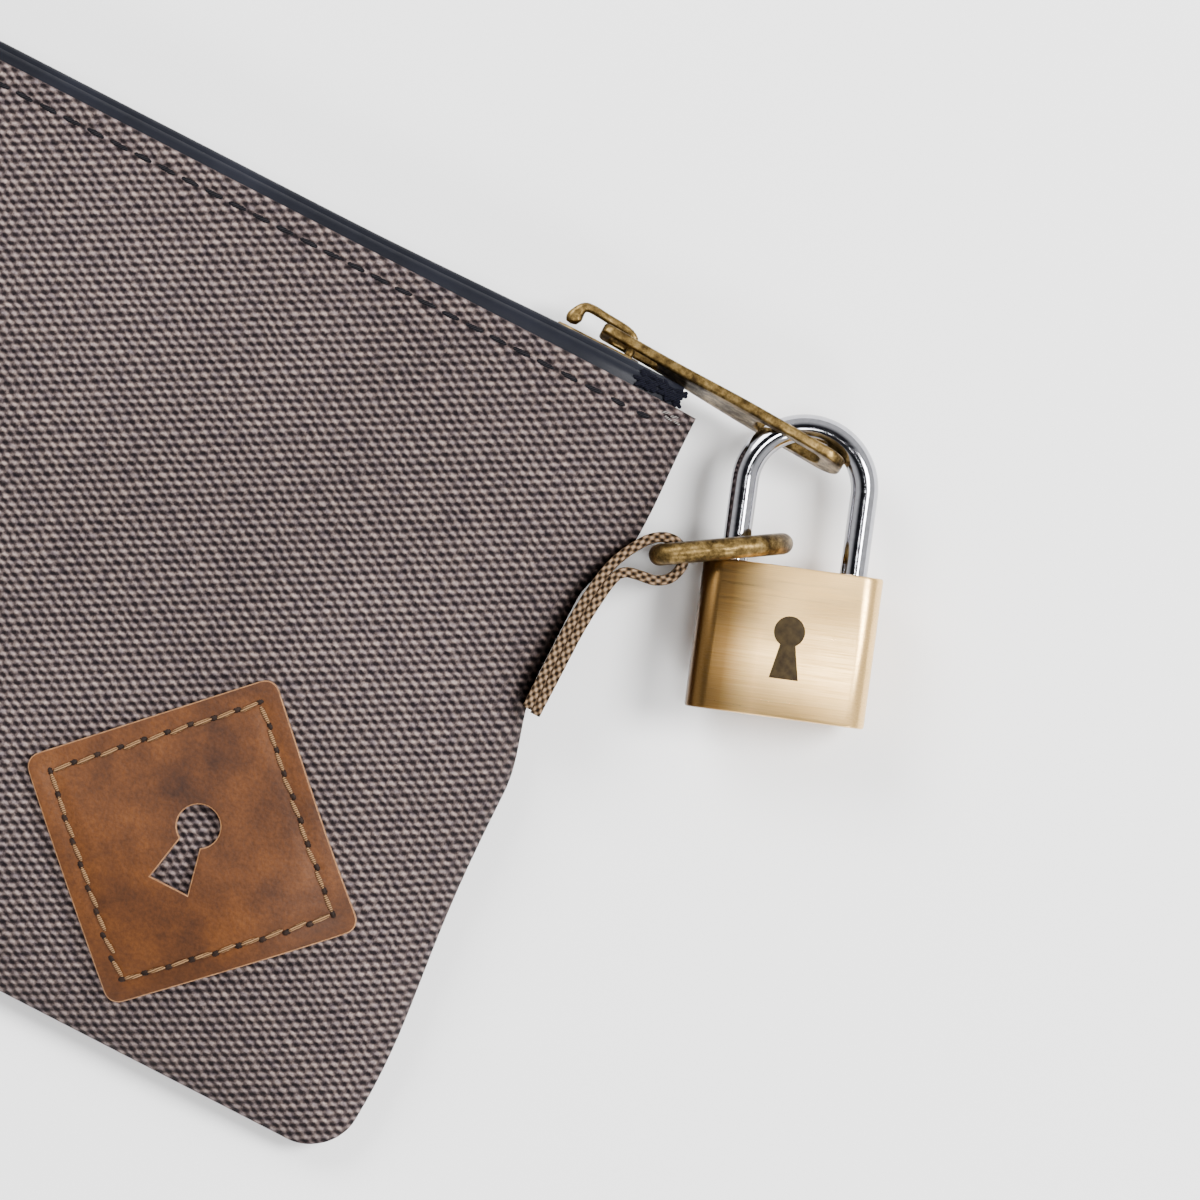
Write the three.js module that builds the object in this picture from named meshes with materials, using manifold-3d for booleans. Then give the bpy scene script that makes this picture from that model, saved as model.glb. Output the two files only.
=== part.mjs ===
// Cash deposit bag: a lined canvas pouch with a metal zip slider, whose puller is padlocked
// to a D-ring in a webbing loop on the side seam.
//
// Frame: millimetres, the pouch lying on its back panel. +X runs along the zip to its closed
// end, +Y points out of the zip, +Z out of the front panel. The origin is the centre of the
// flat back face.
import * as THREE from "three";
import { mergeVertices } from "three/addons/utils/BufferGeometryUtils.js";
import Module from "manifold-3d";

const wasm = await Module();
wasm.setup();

// ---- Pouch ----
const BAG_LENGTH = 216;
const BAG_HEIGHT = 138;
const BAG_TOP_DEPTH = 21.6;
const BAG_CROWN_DEPTH = 25;
const CORNER_RADIUS = 13;
const CANVAS = 1.2;
const LINING = 0.5;
const LINING_INSET = 10;
const LINING_GAP = 0.8;
const LINING_TOP_DROP = 13;
const SEAM_HEIGHT_BOTTOM = 4.4;
const SIDE_SWELL = 30;
const BOTTOM_SWELL = 36;
const TOP_END_SWELL = 22;
const BACK_SWELL = 12;

// ---- Zip ----
const TAPE = 0.8;
const TAPE_RISE = 0.6;
const TAPE_SKIRT = 9;
const TAPE_END_INSET = 4;
const CHAIN_WIDTH = 2.8;
const CHAIN_HEIGHT = 1.3;
const CHAIN_END_INSET = 12.4;
const STOP_LENGTH = 2.2;
const SLIDER_LENGTH = 15;
const SLIDER_PLATE = 0.9;
const SLIDER_WIDTH = 10.4;
const SLIDER_NECK_WIDTH = 1.7;
const SLIDER_NECK_LENGTH = 3;
const SLIDER_FLANGE = 0.8;
const SLIDER_PLAY = 1.2;
const SLIDER_WAIST = 0.74;
const SLIDER_HEEL_CUT = 1;
const FLANGE_START_CUT = 6.75;
const FLANGE_END_CUT = 2;
const BRIDGE_WIDTH = 3;
const BRIDGE_THICKNESS = 1.2;
const BRIDGE_RISE = 4.6;
const BRIDGE_OPEN_INSET = 2;
const BRIDGE_FOOT_INSET = 2.2;

// ---- Puller ----
const PULLER_LENGTH = 46;
const PULLER_THICKNESS = 1.8;
const PULLER_NECK_WIDTH = 6.4;
const PULLER_PADDLE_WIDTH = 10.6;
const PULLER_BAR = 1.7;
const PULLER_TILT = -2.8;
const PULLER_ROLL = -12;
const PULLER_HOLE_ROOM = 7.6;
const PULLER_HOLE_FROM_TIP = 10;
const PULLER_EYE_END = 10.2;
const PULLER_CORNER = 3.4;
const PULLER_NEAR_CORNER = 0.8;
const PULLER_BEVEL = 0.35;
const PULLER_HOLE_CORNER = 1.6;
const PULLER_HINGE_INSET = 7.9;
const PULLER_HINGE_RISE = 1.94;

// ---- D-ring and side loop ----
const RING_WIRE = 3.6;
const RING_LENGTH = 24.1;
const RING_WIDTH = 21.4;
const RING_CORNER = 2.2;
const RING_TURN = 32.3;
const RING_SHIFT = 0.4;
const LOOP_DROP = 23.2;
const LOOP_REACH = 5.2;
const WEBBING = 1.4;
const WEBBING_WIDTH = 12.6;
const WEBBING_TAIL = 28;
const LOOP_SLACK = 0.5;

// ---- Patch ----
const PATCH_SIDE = 43.4;
const PATCH_THICKNESS = 2;
const PATCH_CORNER = 2.4;
const PATCH_FROM_END = 42.3;
const PATCH_FROM_BOTTOM = 37.5;
const KEYHOLE_EYE = 3.6;
const KEYHOLE_EYE_RISE = 3;
const KEYHOLE_HALF_FOOT = 3.4;
const KEYHOLE_DROP = 8;

// ---- Padlock ----
const LOCK_WIDTH = 30;
const LOCK_HEIGHT = 25.2;
const LOCK_THICKNESS = 13.4;
const LOCK_CORNER = 3.4;
const LOCK_BEVEL = 0.4;
const LOCK_TURN = 19.5;
const LOCK_FROM_END = 30;
const LOCK_DROP = 26.4;
const SHACKLE_WIRE = 4.6;
const SHACKLE_CLEAR_WIDTH = 15.4;
const SHACKLE_STRAIGHT = 13.3;
const HEEL_DEPTH = 16;
const TOE_DEPTH = 8;
const SHACKLE_LIFT = 8.5;
const PLUG_RADIUS = 4.2;
const PLUG_LENGTH = 14;
const KEYWAY_WIDTH = 1.4;
const KEYWAY_HEIGHT = 6;
const BOLT_SIZE = 3;
const BOLT_LENGTH = 6;
const BOLT_ENTRY = 1.2;
const BOLT_TRAVEL = 2;
const PIN_RADIUS = 0.8;
const DRIVER_PINS = 3;
const DRIVER_PIN_LENGTH = 2.2;
const PIN_PITCH = 2.4;
const SPRING_WIRE = 0.4;
const BOLT_SPRING_LENGTH = 3.4;
const CHAMBER_LENGTH = 5.4;
const CHAMBER_OVERCUT = 1.5;
const FIRST_CHAMBER_RISE = 2;
const BOLT_DROP = 5;
const HEEL_PIN_DROP = 4.6;
const HEEL_PIN_BITE = 0.4;
const RETAINER_RISE = 3;
const PIN_RECESS = 0.2;
const PLUG_RECESS = 0.3;
const KEYWAY_SHARE = 0.8;
const SPRING_STEPS = 8;

// ---- Clearances ----
const SEWN_GAP = 0.3;
const TAPE_GAP = 0.5;
const SLIDING_GAP = 0.3;

// ---- Derived ----
const HALF_LENGTH = BAG_LENGTH / 2;
const HALF_HEIGHT = BAG_HEIGHT / 2;
const MID = BAG_TOP_DEPTH / 2;
const TOP = HALF_HEIGHT;
const TAPE_LOW = TOP + TAPE_RISE;
const TAPE_HIGH = TAPE_LOW + TAPE;
const CHAIN_LOW = TAPE_HIGH + SLIDING_GAP / 2;
const CHAIN_HIGH = CHAIN_LOW + CHAIN_HEIGHT;
const PLATE_LOW = CHAIN_HIGH + SLIDING_GAP;
const PLATE_HIGH = PLATE_LOW + SLIDER_PLATE;
const CHAIN_END = HALF_LENGTH - CHAIN_END_INSET;
const SLIDER_END = CHAIN_END - SLIDING_GAP;
const SLIDER_START = SLIDER_END - SLIDER_LENGTH;
const NECK_HALF = SLIDER_NECK_WIDTH / 2;
const CHAIN_PARTED = NECK_HALF + SLIDING_GAP;
const CHAIN_CLOSED = SLIDING_GAP / 2;
const degrees = THREE.MathUtils.degToRad;

const COLOURS = {
  canvas: [0x84786b, 0.95, 0],
  lining: [0x2b2a2c, 0.9, 0],
  tape: [0x17181b, 0.55, 0],
  brass: [0x8b6b3b, 0.42, 1],
  lockBrass: [0xb98f4a, 0.35, 1],
  steel: [0xb9b7b0, 0.2, 1],
  webbing: [0xa8743f, 0.85, 0],
  leather: [0xa9662f, 0.6, 0],
};

const bag = new THREE.Group();

function addPart(name, geometry, look, parent = bag) {
  const [color, roughness, metalness] = COLOURS[look];
  const material = new THREE.MeshStandardMaterial({ color, roughness, metalness });
  const mesh = new THREE.Mesh(geometry, material);
  mesh.name = name;
  parent.add(mesh);
  return mesh;
}

// ---- Solids ----
function toManifold(geometry) {
  const bare = geometry.clone();
  bare.deleteAttribute("normal");
  bare.deleteAttribute("uv");
  const merged = mergeVertices(bare, 1e-4);
  const mesh = new wasm.Mesh({
    numProp: 3,
    vertProperties: new Float32Array(merged.attributes.position.array),
    triVerts: new Uint32Array(merged.index.array),
  });
  return new wasm.Manifold(mesh);
}

function toGeometry(solid) {
  const mesh = solid.getMesh();
  const geometry = new THREE.BufferGeometry();
  geometry.setAttribute("position", new THREE.BufferAttribute(new Float32Array(mesh.vertProperties), 3));
  geometry.setIndex(new THREE.BufferAttribute(new Uint32Array(mesh.triVerts), 1));
  return geometry;
}

function cut(geometry, ...tools) {
  let solid = toManifold(geometry);
  for (const tool of tools) {
    solid = solid.subtract(toManifold(tool));
  }
  return toGeometry(solid);
}

function join(geometry, ...others) {
  let solid = toManifold(geometry);
  for (const other of others) {
    solid = solid.add(toManifold(other));
  }
  return toGeometry(solid);
}

function closedGeometry(points, triangles) {
  const a = new THREE.Vector3();
  let volume = 0;
  for (let t = 0; t < triangles.length; t += 3) {
    a.crossVectors(points[triangles[t]], points[triangles[t + 1]]);
    volume += a.dot(points[triangles[t + 2]]);
  }
  const index = volume >= 0 ? triangles : [...triangles].reverse();
  const geometry = new THREE.BufferGeometry().setFromPoints(points);
  geometry.setIndex(index);
  return geometry;
}

// A closed sheet between two surfaces, each given over a grid of columns and rows.
function sheet(columns, rows, lowAt, highAt) {
  const points = [];
  for (const pointAt of [lowAt, highAt]) {
    for (const row of rows) {
      for (const column of columns) {
        points.push(pointAt(column, row));
      }
    }
  }
  const wide = columns.length;
  const tall = rows.length;
  const at = (side, c, r) => side * wide * tall + r * wide + c;
  const triangles = [];
  const quad = (a, b, c, d) => triangles.push(a, b, c, a, c, d);
  for (let r = 0; r + 1 < tall; r += 1) {
    for (let c = 0; c + 1 < wide; c += 1) {
      quad(at(0, c, r), at(0, c, r + 1), at(0, c + 1, r + 1), at(0, c + 1, r));
      quad(at(1, c, r), at(1, c + 1, r), at(1, c + 1, r + 1), at(1, c, r + 1));
    }
  }
  const rim = [];
  for (let c = 0; c < wide; c += 1) rim.push([c, 0]);
  for (let r = 1; r < tall; r += 1) rim.push([wide - 1, r]);
  for (let c = wide - 2; c >= 0; c -= 1) rim.push([c, tall - 1]);
  for (let r = tall - 2; r > 0; r -= 1) rim.push([0, r]);
  rim.forEach(([c, r], i) => {
    const [nextC, nextR] = rim[(i + 1) % rim.length];
    quad(at(0, c, r), at(0, nextC, nextR), at(1, nextC, nextR), at(1, c, r));
  });
  return closedGeometry(points, triangles);
}

// A convex section carried along a path that lies in one plane.
function sweep(path, planeNormal, section, closed = false) {
  const points = [];
  const count = path.length;
  path.forEach((point, i) => {
    const before = closed ? path[(i + count - 1) % count] : path[Math.max(i - 1, 0)];
    const after = closed ? path[(i + 1) % count] : path[Math.min(i + 1, count - 1)];
    const along = after.clone().sub(before).normalize();
    const side = along.cross(planeNormal).normalize();
    for (const [across, up] of section) {
      points.push(point.clone().addScaledVector(side, across).addScaledVector(planeNormal, up));
    }
  });
  const sides = section.length;
  const triangles = [];
  const spans = closed ? count : count - 1;
  for (let i = 0; i < spans; i += 1) {
    const here = i * sides;
    const next = ((i + 1) % count) * sides;
    for (let s = 0; s < sides; s += 1) {
      const t = (s + 1) % sides;
      triangles.push(here + s, here + t, next + t, here + s, next + t, next + s);
    }
  }
  if (!closed) {
    const last = (count - 1) * sides;
    for (let s = 1; s + 1 < sides; s += 1) {
      triangles.push(0, s + 1, s, last, last + s, last + s + 1);
    }
  }
  return closedGeometry(points, triangles);
}

const roundSection = (radius, sides) =>
  Array.from({ length: sides }, (_, i) => {
    const angle = (i / sides) * 2 * Math.PI;
    return [radius * Math.cos(angle), radius * Math.sin(angle)];
  });

const flatSection = (thickness, width) => [
  [-thickness / 2, -width / 2],
  [thickness / 2, -width / 2],
  [thickness / 2, width / 2],
  [-thickness / 2, width / 2],
];

function box(low, high) {
  const size = high.map((value, axis) => value - low[axis]);
  const middle = high.map((value, axis) => (value + low[axis]) / 2);
  return new THREE.BoxGeometry(...size).translate(...middle);
}

function arc(centre, radius, from, to, steps) {
  return Array.from({ length: steps + 1 }, (_, i) => {
    const angle = degrees(from + ((to - from) * i) / steps);
    const x = centre.x + radius * Math.cos(angle);
    const y = centre.y + radius * Math.sin(angle);
    return new THREE.Vector3(x, y, centre.z);
  });
}

const spread = (from, to, steps) =>
  Array.from({ length: steps + 1 }, (_, i) => from + ((to - from) * i) / steps);

// ---- Pouch surfaces ----
const swell = (distance, reach) => {
  const share = Math.min(Math.max(distance / reach, 0), 1);
  return (1 - (1 - share) ** 2) ** 0.65;
};

const seamHeight = (y) => {
  const rise = THREE.MathUtils.smoothstep(y, 0, TOP);
  return SEAM_HEIGHT_BOTTOM + (MID - SEAM_HEIGHT_BOTTOM) * rise;
};

const sideReach = (y) => {
  const nearTop = THREE.MathUtils.smoothstep(y, TOP - 40, TOP);
  return SIDE_SWELL + (TOP_END_SWELL - SIDE_SWELL) * nearTop;
};

const halfWidthAt = (y) => {
  const below = Math.max(CORNER_RADIUS - (y + HALF_HEIGHT), 0);
  return HALF_LENGTH - CORNER_RADIUS + Math.sqrt(CORNER_RADIUS ** 2 - below ** 2);
};

function fullness(x, y, bottomReach, endReach) {
  const fromSide = halfWidthAt(y) - Math.abs(x);
  const fromBottom = y + HALF_HEIGHT;
  return swell(fromSide, endReach) * swell(fromBottom, bottomReach);
}

const frontInner = (x, y) => {
  const crown = Math.sin((Math.PI * (y + HALF_HEIGHT)) / BAG_HEIGHT);
  const depth = BAG_TOP_DEPTH + (BAG_CROWN_DEPTH - BAG_TOP_DEPTH) * crown - CANVAS;
  const seam = seamHeight(y) + SEWN_GAP / 2;
  return seam + (depth - seam) * fullness(x, y, BOTTOM_SWELL, sideReach(y));
};

const backInner = (x, y) => {
  const seam = seamHeight(y) - SEWN_GAP / 2;
  return seam + (CANVAS - seam) * fullness(x, y, BACK_SWELL, BACK_SWELL);
};

function pouchRows(low, high) {
  const rows = [];
  for (const angle of spread(0, 90, 4)) {
    rows.push(low + CORNER_RADIUS * (1 - Math.cos(degrees(angle))));
  }
  const start = low + CORNER_RADIUS;
  for (const share of spread(0, 1, 9).slice(1)) {
    rows.push(start + (high - start) * share);
  }
  return rows;
}

const pouchColumns = (steps) => spread(-90, 90, steps).map((angle) => Math.sin(degrees(angle)));

function pouchSheet(steps, inset, topDrop, lowAt, highAt) {
  const rows = pouchRows(-HALF_HEIGHT + inset, TOP - topDrop);
  const pointOn = (heightAt) => (column, y) => {
    const x = column * (halfWidthAt(y) - inset);
    return new THREE.Vector3(x, y, heightAt(x, y));
  };
  return sheet(pouchColumns(steps), rows, pointOn(lowAt), pointOn(highAt));
}

function buildPouch() {
  const frontOuter = (x, y) => frontInner(x, y) + CANVAS;
  const backOuter = (x, y) => backInner(x, y) - CANVAS;
  addPart("front_panel", pouchSheet(22, 0, 0, frontInner, frontOuter), "canvas");
  addPart("back_panel", pouchSheet(22, 0, 0, backOuter, backInner), "canvas");
  const frontLiningLow = (x, y) => frontInner(x, y) - LINING_GAP - LINING;
  const frontLiningHigh = (x, y) => frontInner(x, y) - LINING_GAP;
  const backLiningLow = (x, y) => backInner(x, y) + LINING_GAP;
  const backLiningHigh = (x, y) => backInner(x, y) + LINING_GAP + LINING;
  const lining = (low, high) => pouchSheet(14, LINING_INSET, LINING_TOP_DROP, low, high);
  addPart("front_lining", lining(frontLiningLow, frontLiningHigh), "lining");
  addPart("back_lining", lining(backLiningLow, backLiningHigh), "lining");
}

// ---- Zip ----
// Each half is described by its distance from the mid plane and mirrored by its side. The last
// stretch is parted, so that the slider's neck has room to play.
const PART_END = SLIDER_END - SLIDER_NECK_LENGTH - SLIDER_PLAY - SLIDING_GAP;
const PART_START = PART_END - CHAIN_PARTED * 4;

function nearEdge(x) {
  const parted = THREE.MathUtils.clamp((x - PART_START) / (PART_END - PART_START), 0, 1);
  return CHAIN_CLOSED + (CHAIN_PARTED - CHAIN_CLOSED) * parted;
}

function halfOpening(side, x, y) {
  return side > 0 ? frontInner(x, y) - MID : MID - backInner(x, y);
}

// A strip along the zip between two lines, each giving the height and the distance at x.
function zipStrip(side, columns, lowLines, highLines) {
  const pointOn = (lines) => (x, step) => {
    const [y, distance] = lines[step](x);
    return new THREE.Vector3(x, y, MID + side * distance);
  };
  return sheet(columns, [0, 1], pointOn(lowLines), pointOn(highLines));
}

function zipTape(side) {
  const end = HALF_LENGTH - TAPE_END_INSET;
  const even = spread(-90, 90, 18).map((angle) => end * Math.sin(degrees(angle)));
  const columns = [...even, PART_START, PART_END].sort((a, b) => a - b);
  const skirtBottom = TOP - TAPE_SKIRT;
  const outer = (x, y) => halfOpening(side, x, y) - TAPE_GAP;
  const inner = (x, y) => outer(x, y) - TAPE;
  const skirt = zipStrip(
    side,
    columns,
    [(x) => [skirtBottom, inner(x, skirtBottom)], (x) => [TAPE_LOW + TAPE / 2, inner(x, TOP)]],
    [(x) => [skirtBottom, outer(x, skirtBottom)], (x) => [TAPE_LOW + TAPE / 2, outer(x, TOP)]],
  );
  const fold = zipStrip(
    side,
    columns,
    [(x) => [TAPE_LOW, nearEdge(x)], (x) => [TAPE_LOW, outer(x, TOP)]],
    [(x) => [TAPE_HIGH, nearEdge(x)], (x) => [TAPE_HIGH, outer(x, TOP) - TAPE / 2]],
  );
  return join(skirt, fold);
}

function zipChain(side) {
  const far = (x) => nearEdge(x) + CHAIN_WIDTH;
  return zipStrip(
    side,
    [-CHAIN_END, 0, PART_START, PART_END, CHAIN_END],
    [(x) => [CHAIN_LOW, nearEdge(x)], (x) => [CHAIN_LOW, far(x)]],
    [(x) => [CHAIN_HIGH, nearEdge(x)], (x) => [CHAIN_HIGH, far(x)]],
  );
}

function buildZip() {
  for (const [label, side] of [["front", 1], ["back", -1]]) {
    addPart(`${label}_zip_tape`, zipTape(side), "tape");
    addPart(`${label}_zip_chain`, zipChain(side), "tape");
    const near = MID + side * CHAIN_PARTED;
    const far = MID + side * (CHAIN_PARTED + CHAIN_WIDTH);
    const start = CHAIN_END + SLIDING_GAP;
    const stopLow = [start, CHAIN_LOW, Math.min(near, far)];
    const stopHigh = [start + STOP_LENGTH, CHAIN_HIGH, Math.max(near, far)];
    const stop = box(stopLow, stopHigh);
    addPart(`${label}_top_stop`, stop, "brass");
  }
  const low = [-CHAIN_END - SLIDING_GAP - STOP_LENGTH, CHAIN_LOW, MID - CHAIN_WIDTH];
  const high = [-CHAIN_END - SLIDING_GAP, CHAIN_HIGH, MID + CHAIN_WIDTH];
  addPart("bottom_stop", box(low, high), "brass");
}

// ---- Slider ----
function sliderOutline() {
  const half = SLIDER_WIDTH / 2;
  const waist = half * SLIDER_WAIST;
  const shape = new THREE.Shape();
  shape.moveTo(-SLIDER_LENGTH / 2, -waist);
  shape.lineTo(SLIDER_LENGTH / 4, -half);
  shape.quadraticCurveTo(SLIDER_LENGTH / 2, -half, SLIDER_LENGTH / 2, -half / 2);
  shape.lineTo(SLIDER_LENGTH / 2, half / 2);
  shape.quadraticCurveTo(SLIDER_LENGTH / 2, half, SLIDER_LENGTH / 4, half);
  shape.lineTo(-SLIDER_LENGTH / 2, waist);
  shape.closePath();
  return shape;
}

// The plate outline lies in XZ, with its thickness along Y.
function plate(shape, low, high, settings = {}) {
  const geometry = new THREE.ExtrudeGeometry(shape, {
    depth: high - low,
    bevelEnabled: false,
    curveSegments: 6,
    ...settings,
  });
  geometry.rotateX(-Math.PI / 2);
  const middle = (SLIDER_START + SLIDER_END) / 2;
  return geometry.translate(middle, low, MID);
}

function buildSlider() {
  const upper = plate(sliderOutline(), PLATE_LOW, PLATE_HIGH);
  const lowerLow = TAPE_LOW - SLIDING_GAP - SLIDER_PLATE;
  const lowerHalf = CHAIN_WIDTH;
  const lower = box(
    [SLIDER_START + SLIDER_HEEL_CUT, lowerLow, MID - lowerHalf],
    [SLIDER_END, TAPE_LOW - SLIDING_GAP, MID + lowerHalf],
  );
  const neck = box(
    [SLIDER_END - SLIDER_NECK_LENGTH, lowerLow + SLIDER_PLATE / 2, MID - NECK_HALF],
    [SLIDER_END, PLATE_LOW + SLIDER_PLATE / 2, MID + NECK_HALF],
  );
  const flanges = [1, -1].map((side) => {
    const near = CHAIN_PARTED + CHAIN_WIDTH + SLIDING_GAP;
    const ends = [MID + side * near, MID + side * (near + SLIDER_FLANGE)].sort((a, b) => a - b);
    const low = [SLIDER_START + FLANGE_START_CUT, CHAIN_LOW + SLIDING_GAP / 2, ends[0]];
    const high = [SLIDER_END - FLANGE_END_CUT, PLATE_LOW + SLIDER_PLATE / 2, ends[1]];
    return box(low, high);
  });
  addPart("slider_body", join(upper, lower, neck, ...flanges), "brass");
}

function bridgePath() {
  const foot = PLATE_HIGH + SLIDING_GAP;
  const top = PLATE_HIGH + BRIDGE_RISE - BRIDGE_THICKNESS / 2;
  const left = SLIDER_START + BRIDGE_OPEN_INSET;
  const right = SLIDER_END - BRIDGE_FOOT_INSET;
  const curve = new THREE.CatmullRomCurve3([
    new THREE.Vector3(left, foot, MID),
    new THREE.Vector3(left - 0.2, (foot + top) / 2, MID),
    new THREE.Vector3(left + 1, top, MID),
    new THREE.Vector3((left + right) / 2, top - 0.1, MID),
    new THREE.Vector3(right - 1.4, top - 0.5, MID),
    new THREE.Vector3(right, top - 1.6, MID),
    new THREE.Vector3(right, foot + 0.4, MID),
  ]);
  return curve.getPoints(28);
}

function buildBridge() {
  const up = new THREE.Vector3(0, 0, 1);
  addPart("slider_bridge", sweep(bridgePath(), up, flatSection(BRIDGE_THICKNESS, BRIDGE_WIDTH)), "brass");
}

// ---- Puller ----
// Its own frame: X along its length from the middle of the bar, Y its thickness, Z its width.
const PULLER_HINGE = new THREE.Vector3(
  SLIDER_START + PULLER_HINGE_INSET,
  PLATE_HIGH + PULLER_HINGE_RISE,
  MID,
);

function pullerGeometry() {
  const neck = PULLER_NECK_WIDTH / 2;
  const paddle = PULLER_PADDLE_WIDTH / 2;
  const end = PULLER_LENGTH - PULLER_BAR / 2;
  const start = -PULLER_BAR / 2;
  const shape = new THREE.Shape();
  shape.moveTo(start, -neck + PULLER_NEAR_CORNER);
  shape.lineTo(start + PULLER_NEAR_CORNER, -neck);
  shape.bezierCurveTo(end * 0.5, -neck, end * 0.5, -paddle * 0.72, end * 0.66, -paddle);
  shape.lineTo(end - PULLER_CORNER, -paddle);
  shape.quadraticCurveTo(end, -paddle, end, -paddle + PULLER_CORNER);
  shape.lineTo(end, paddle - PULLER_CORNER);
  shape.quadraticCurveTo(end, paddle, end - PULLER_CORNER, paddle);
  shape.lineTo(end * 0.66, paddle);
  shape.bezierCurveTo(end * 0.5, paddle * 0.72, end * 0.5, neck, start + PULLER_NEAR_CORNER, neck);
  shape.lineTo(start, neck - PULLER_NEAR_CORNER);
  shape.closePath();
  shape.holes.push(slot(PULLER_BAR / 2, PULLER_EYE_END, BRIDGE_WIDTH / 2 + SLIDING_GAP * 2));
  const holeMiddle = end - PULLER_HOLE_FROM_TIP;
  const holeHalf = (SHACKLE_WIRE + PULLER_HOLE_ROOM) / 2;
  shape.holes.push(slot(holeMiddle - holeHalf, holeMiddle + holeHalf, SHACKLE_WIRE / 2 + SLIDING_GAP * 1.5));
  const geometry = new THREE.ExtrudeGeometry(shape, {
    depth: PULLER_THICKNESS - 2 * PULLER_BEVEL,
    bevelEnabled: true,
    bevelThickness: PULLER_BEVEL,
    bevelSize: PULLER_BEVEL,
    bevelOffset: -PULLER_BEVEL,
    bevelSegments: 1,
    curveSegments: 5,
  });
  geometry.translate(0, 0, -(PULLER_THICKNESS / 2 - PULLER_BEVEL));
  return geometry.rotateX(-Math.PI / 2);
}

function slot(from, to, half) {
  const path = new THREE.Path();
  const round = Math.min(half, PULLER_HOLE_CORNER);
  path.moveTo(from + round, -half);
  path.lineTo(to - round, -half);
  path.absarc(to - round, -half + round, round, -Math.PI / 2, 0, false);
  path.lineTo(to, half - round);
  path.absarc(to - round, half - round, round, 0, Math.PI / 2, false);
  path.lineTo(from + round, half);
  path.absarc(from + round, half - round, round, Math.PI / 2, Math.PI, false);
  path.lineTo(from, -half + round);
  path.absarc(from + round, -half + round, round, Math.PI, Math.PI * 1.5, false);
  return path;
}

function buildPuller() {
  const puller = addPart("puller", pullerGeometry(), "brass");
  puller.position.copy(PULLER_HINGE);
  puller.rotation.set(degrees(PULLER_ROLL), 0, degrees(PULLER_TILT), "ZYX");
}

// ---- D-ring and side loop ----
const RING_AXIS = new THREE.Vector3(Math.cos(degrees(RING_TURN)), Math.sin(degrees(RING_TURN)), 0);
const RING_ACROSS = new THREE.Vector3(-RING_AXIS.y, RING_AXIS.x, 0);
const RING_BAR = new THREE.Vector3(HALF_LENGTH + LOOP_REACH, TOP - LOOP_DROP, 0);
RING_BAR.addScaledVector(RING_ACROSS, RING_SHIFT);

function ringPath() {
  const half = (RING_WIDTH - RING_WIRE) / 2;
  const long = RING_LENGTH - RING_WIRE;
  const flat = new THREE.Vector3(0, 0, 0);
  const at = (x, y) => flat.clone().set(x, y, 0);
  return [
    ...arc(at(RING_CORNER, -half + RING_CORNER), RING_CORNER, 270, 180, 3),
    ...arc(at(RING_CORNER, half - RING_CORNER), RING_CORNER, 180, 90, 3),
    ...arc(at(long - half, 0), half, 90, -90, 10),
  ];
}

function buildRing() {
  const ring = sweep(ringPath(), new THREE.Vector3(0, 0, 1), roundSection(RING_WIRE / 2, 10), true);
  const mesh = addPart("d_ring", ring, "brass");
  mesh.rotation.set(degrees(90), 0, degrees(RING_TURN), "ZYX");
  mesh.position.set(RING_BAR.x, RING_BAR.y, MID);
}

function buildSideLoop() {
  const inner = RING_WIRE / 2 + LOOP_SLACK;
  const radius = inner + WEBBING / 2;
  const seam = HALF_LENGTH + SEWN_GAP + WEBBING / 2;
  const bar = new THREE.Vector3(RING_BAR.x, RING_BAR.y, MID);
  const path = [
    new THREE.Vector3(seam, bar.y - WEBBING_TAIL - radius, MID),
    new THREE.Vector3(seam, bar.y - WEBBING_TAIL / 2 - radius, MID),
    new THREE.Vector3(seam, bar.y - radius - 4, MID),
    new THREE.Vector3(seam + 0.5, bar.y - radius - 2.2, MID),
    new THREE.Vector3(seam + 1.8, bar.y - radius - 0.8, MID),
    ...arc(bar, radius, -80, 95, 10),
    new THREE.Vector3(seam + 1.4, bar.y + radius - 0.3, MID),
    new THREE.Vector3(seam - 0.1, bar.y + radius - 0.6, MID),
  ];
  const loop = sweep(path, new THREE.Vector3(0, 0, 1), flatSection(WEBBING, WEBBING_WIDTH));
  addPart("side_loop", loop, "webbing");
}

// ---- Patch ----
function keyhole() {
  const shape = new THREE.Shape();
  shape.absarc(0, KEYHOLE_EYE_RISE, KEYHOLE_EYE, degrees(-60), degrees(240), false);
  shape.lineTo(-KEYHOLE_HALF_FOOT, -KEYHOLE_DROP);
  shape.lineTo(KEYHOLE_HALF_FOOT, -KEYHOLE_DROP);
  shape.closePath();
  const depth = BAG_CROWN_DEPTH * 2;
  return new THREE.ExtrudeGeometry(shape, { depth, bevelEnabled: false, curveSegments: 8 });
}

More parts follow.
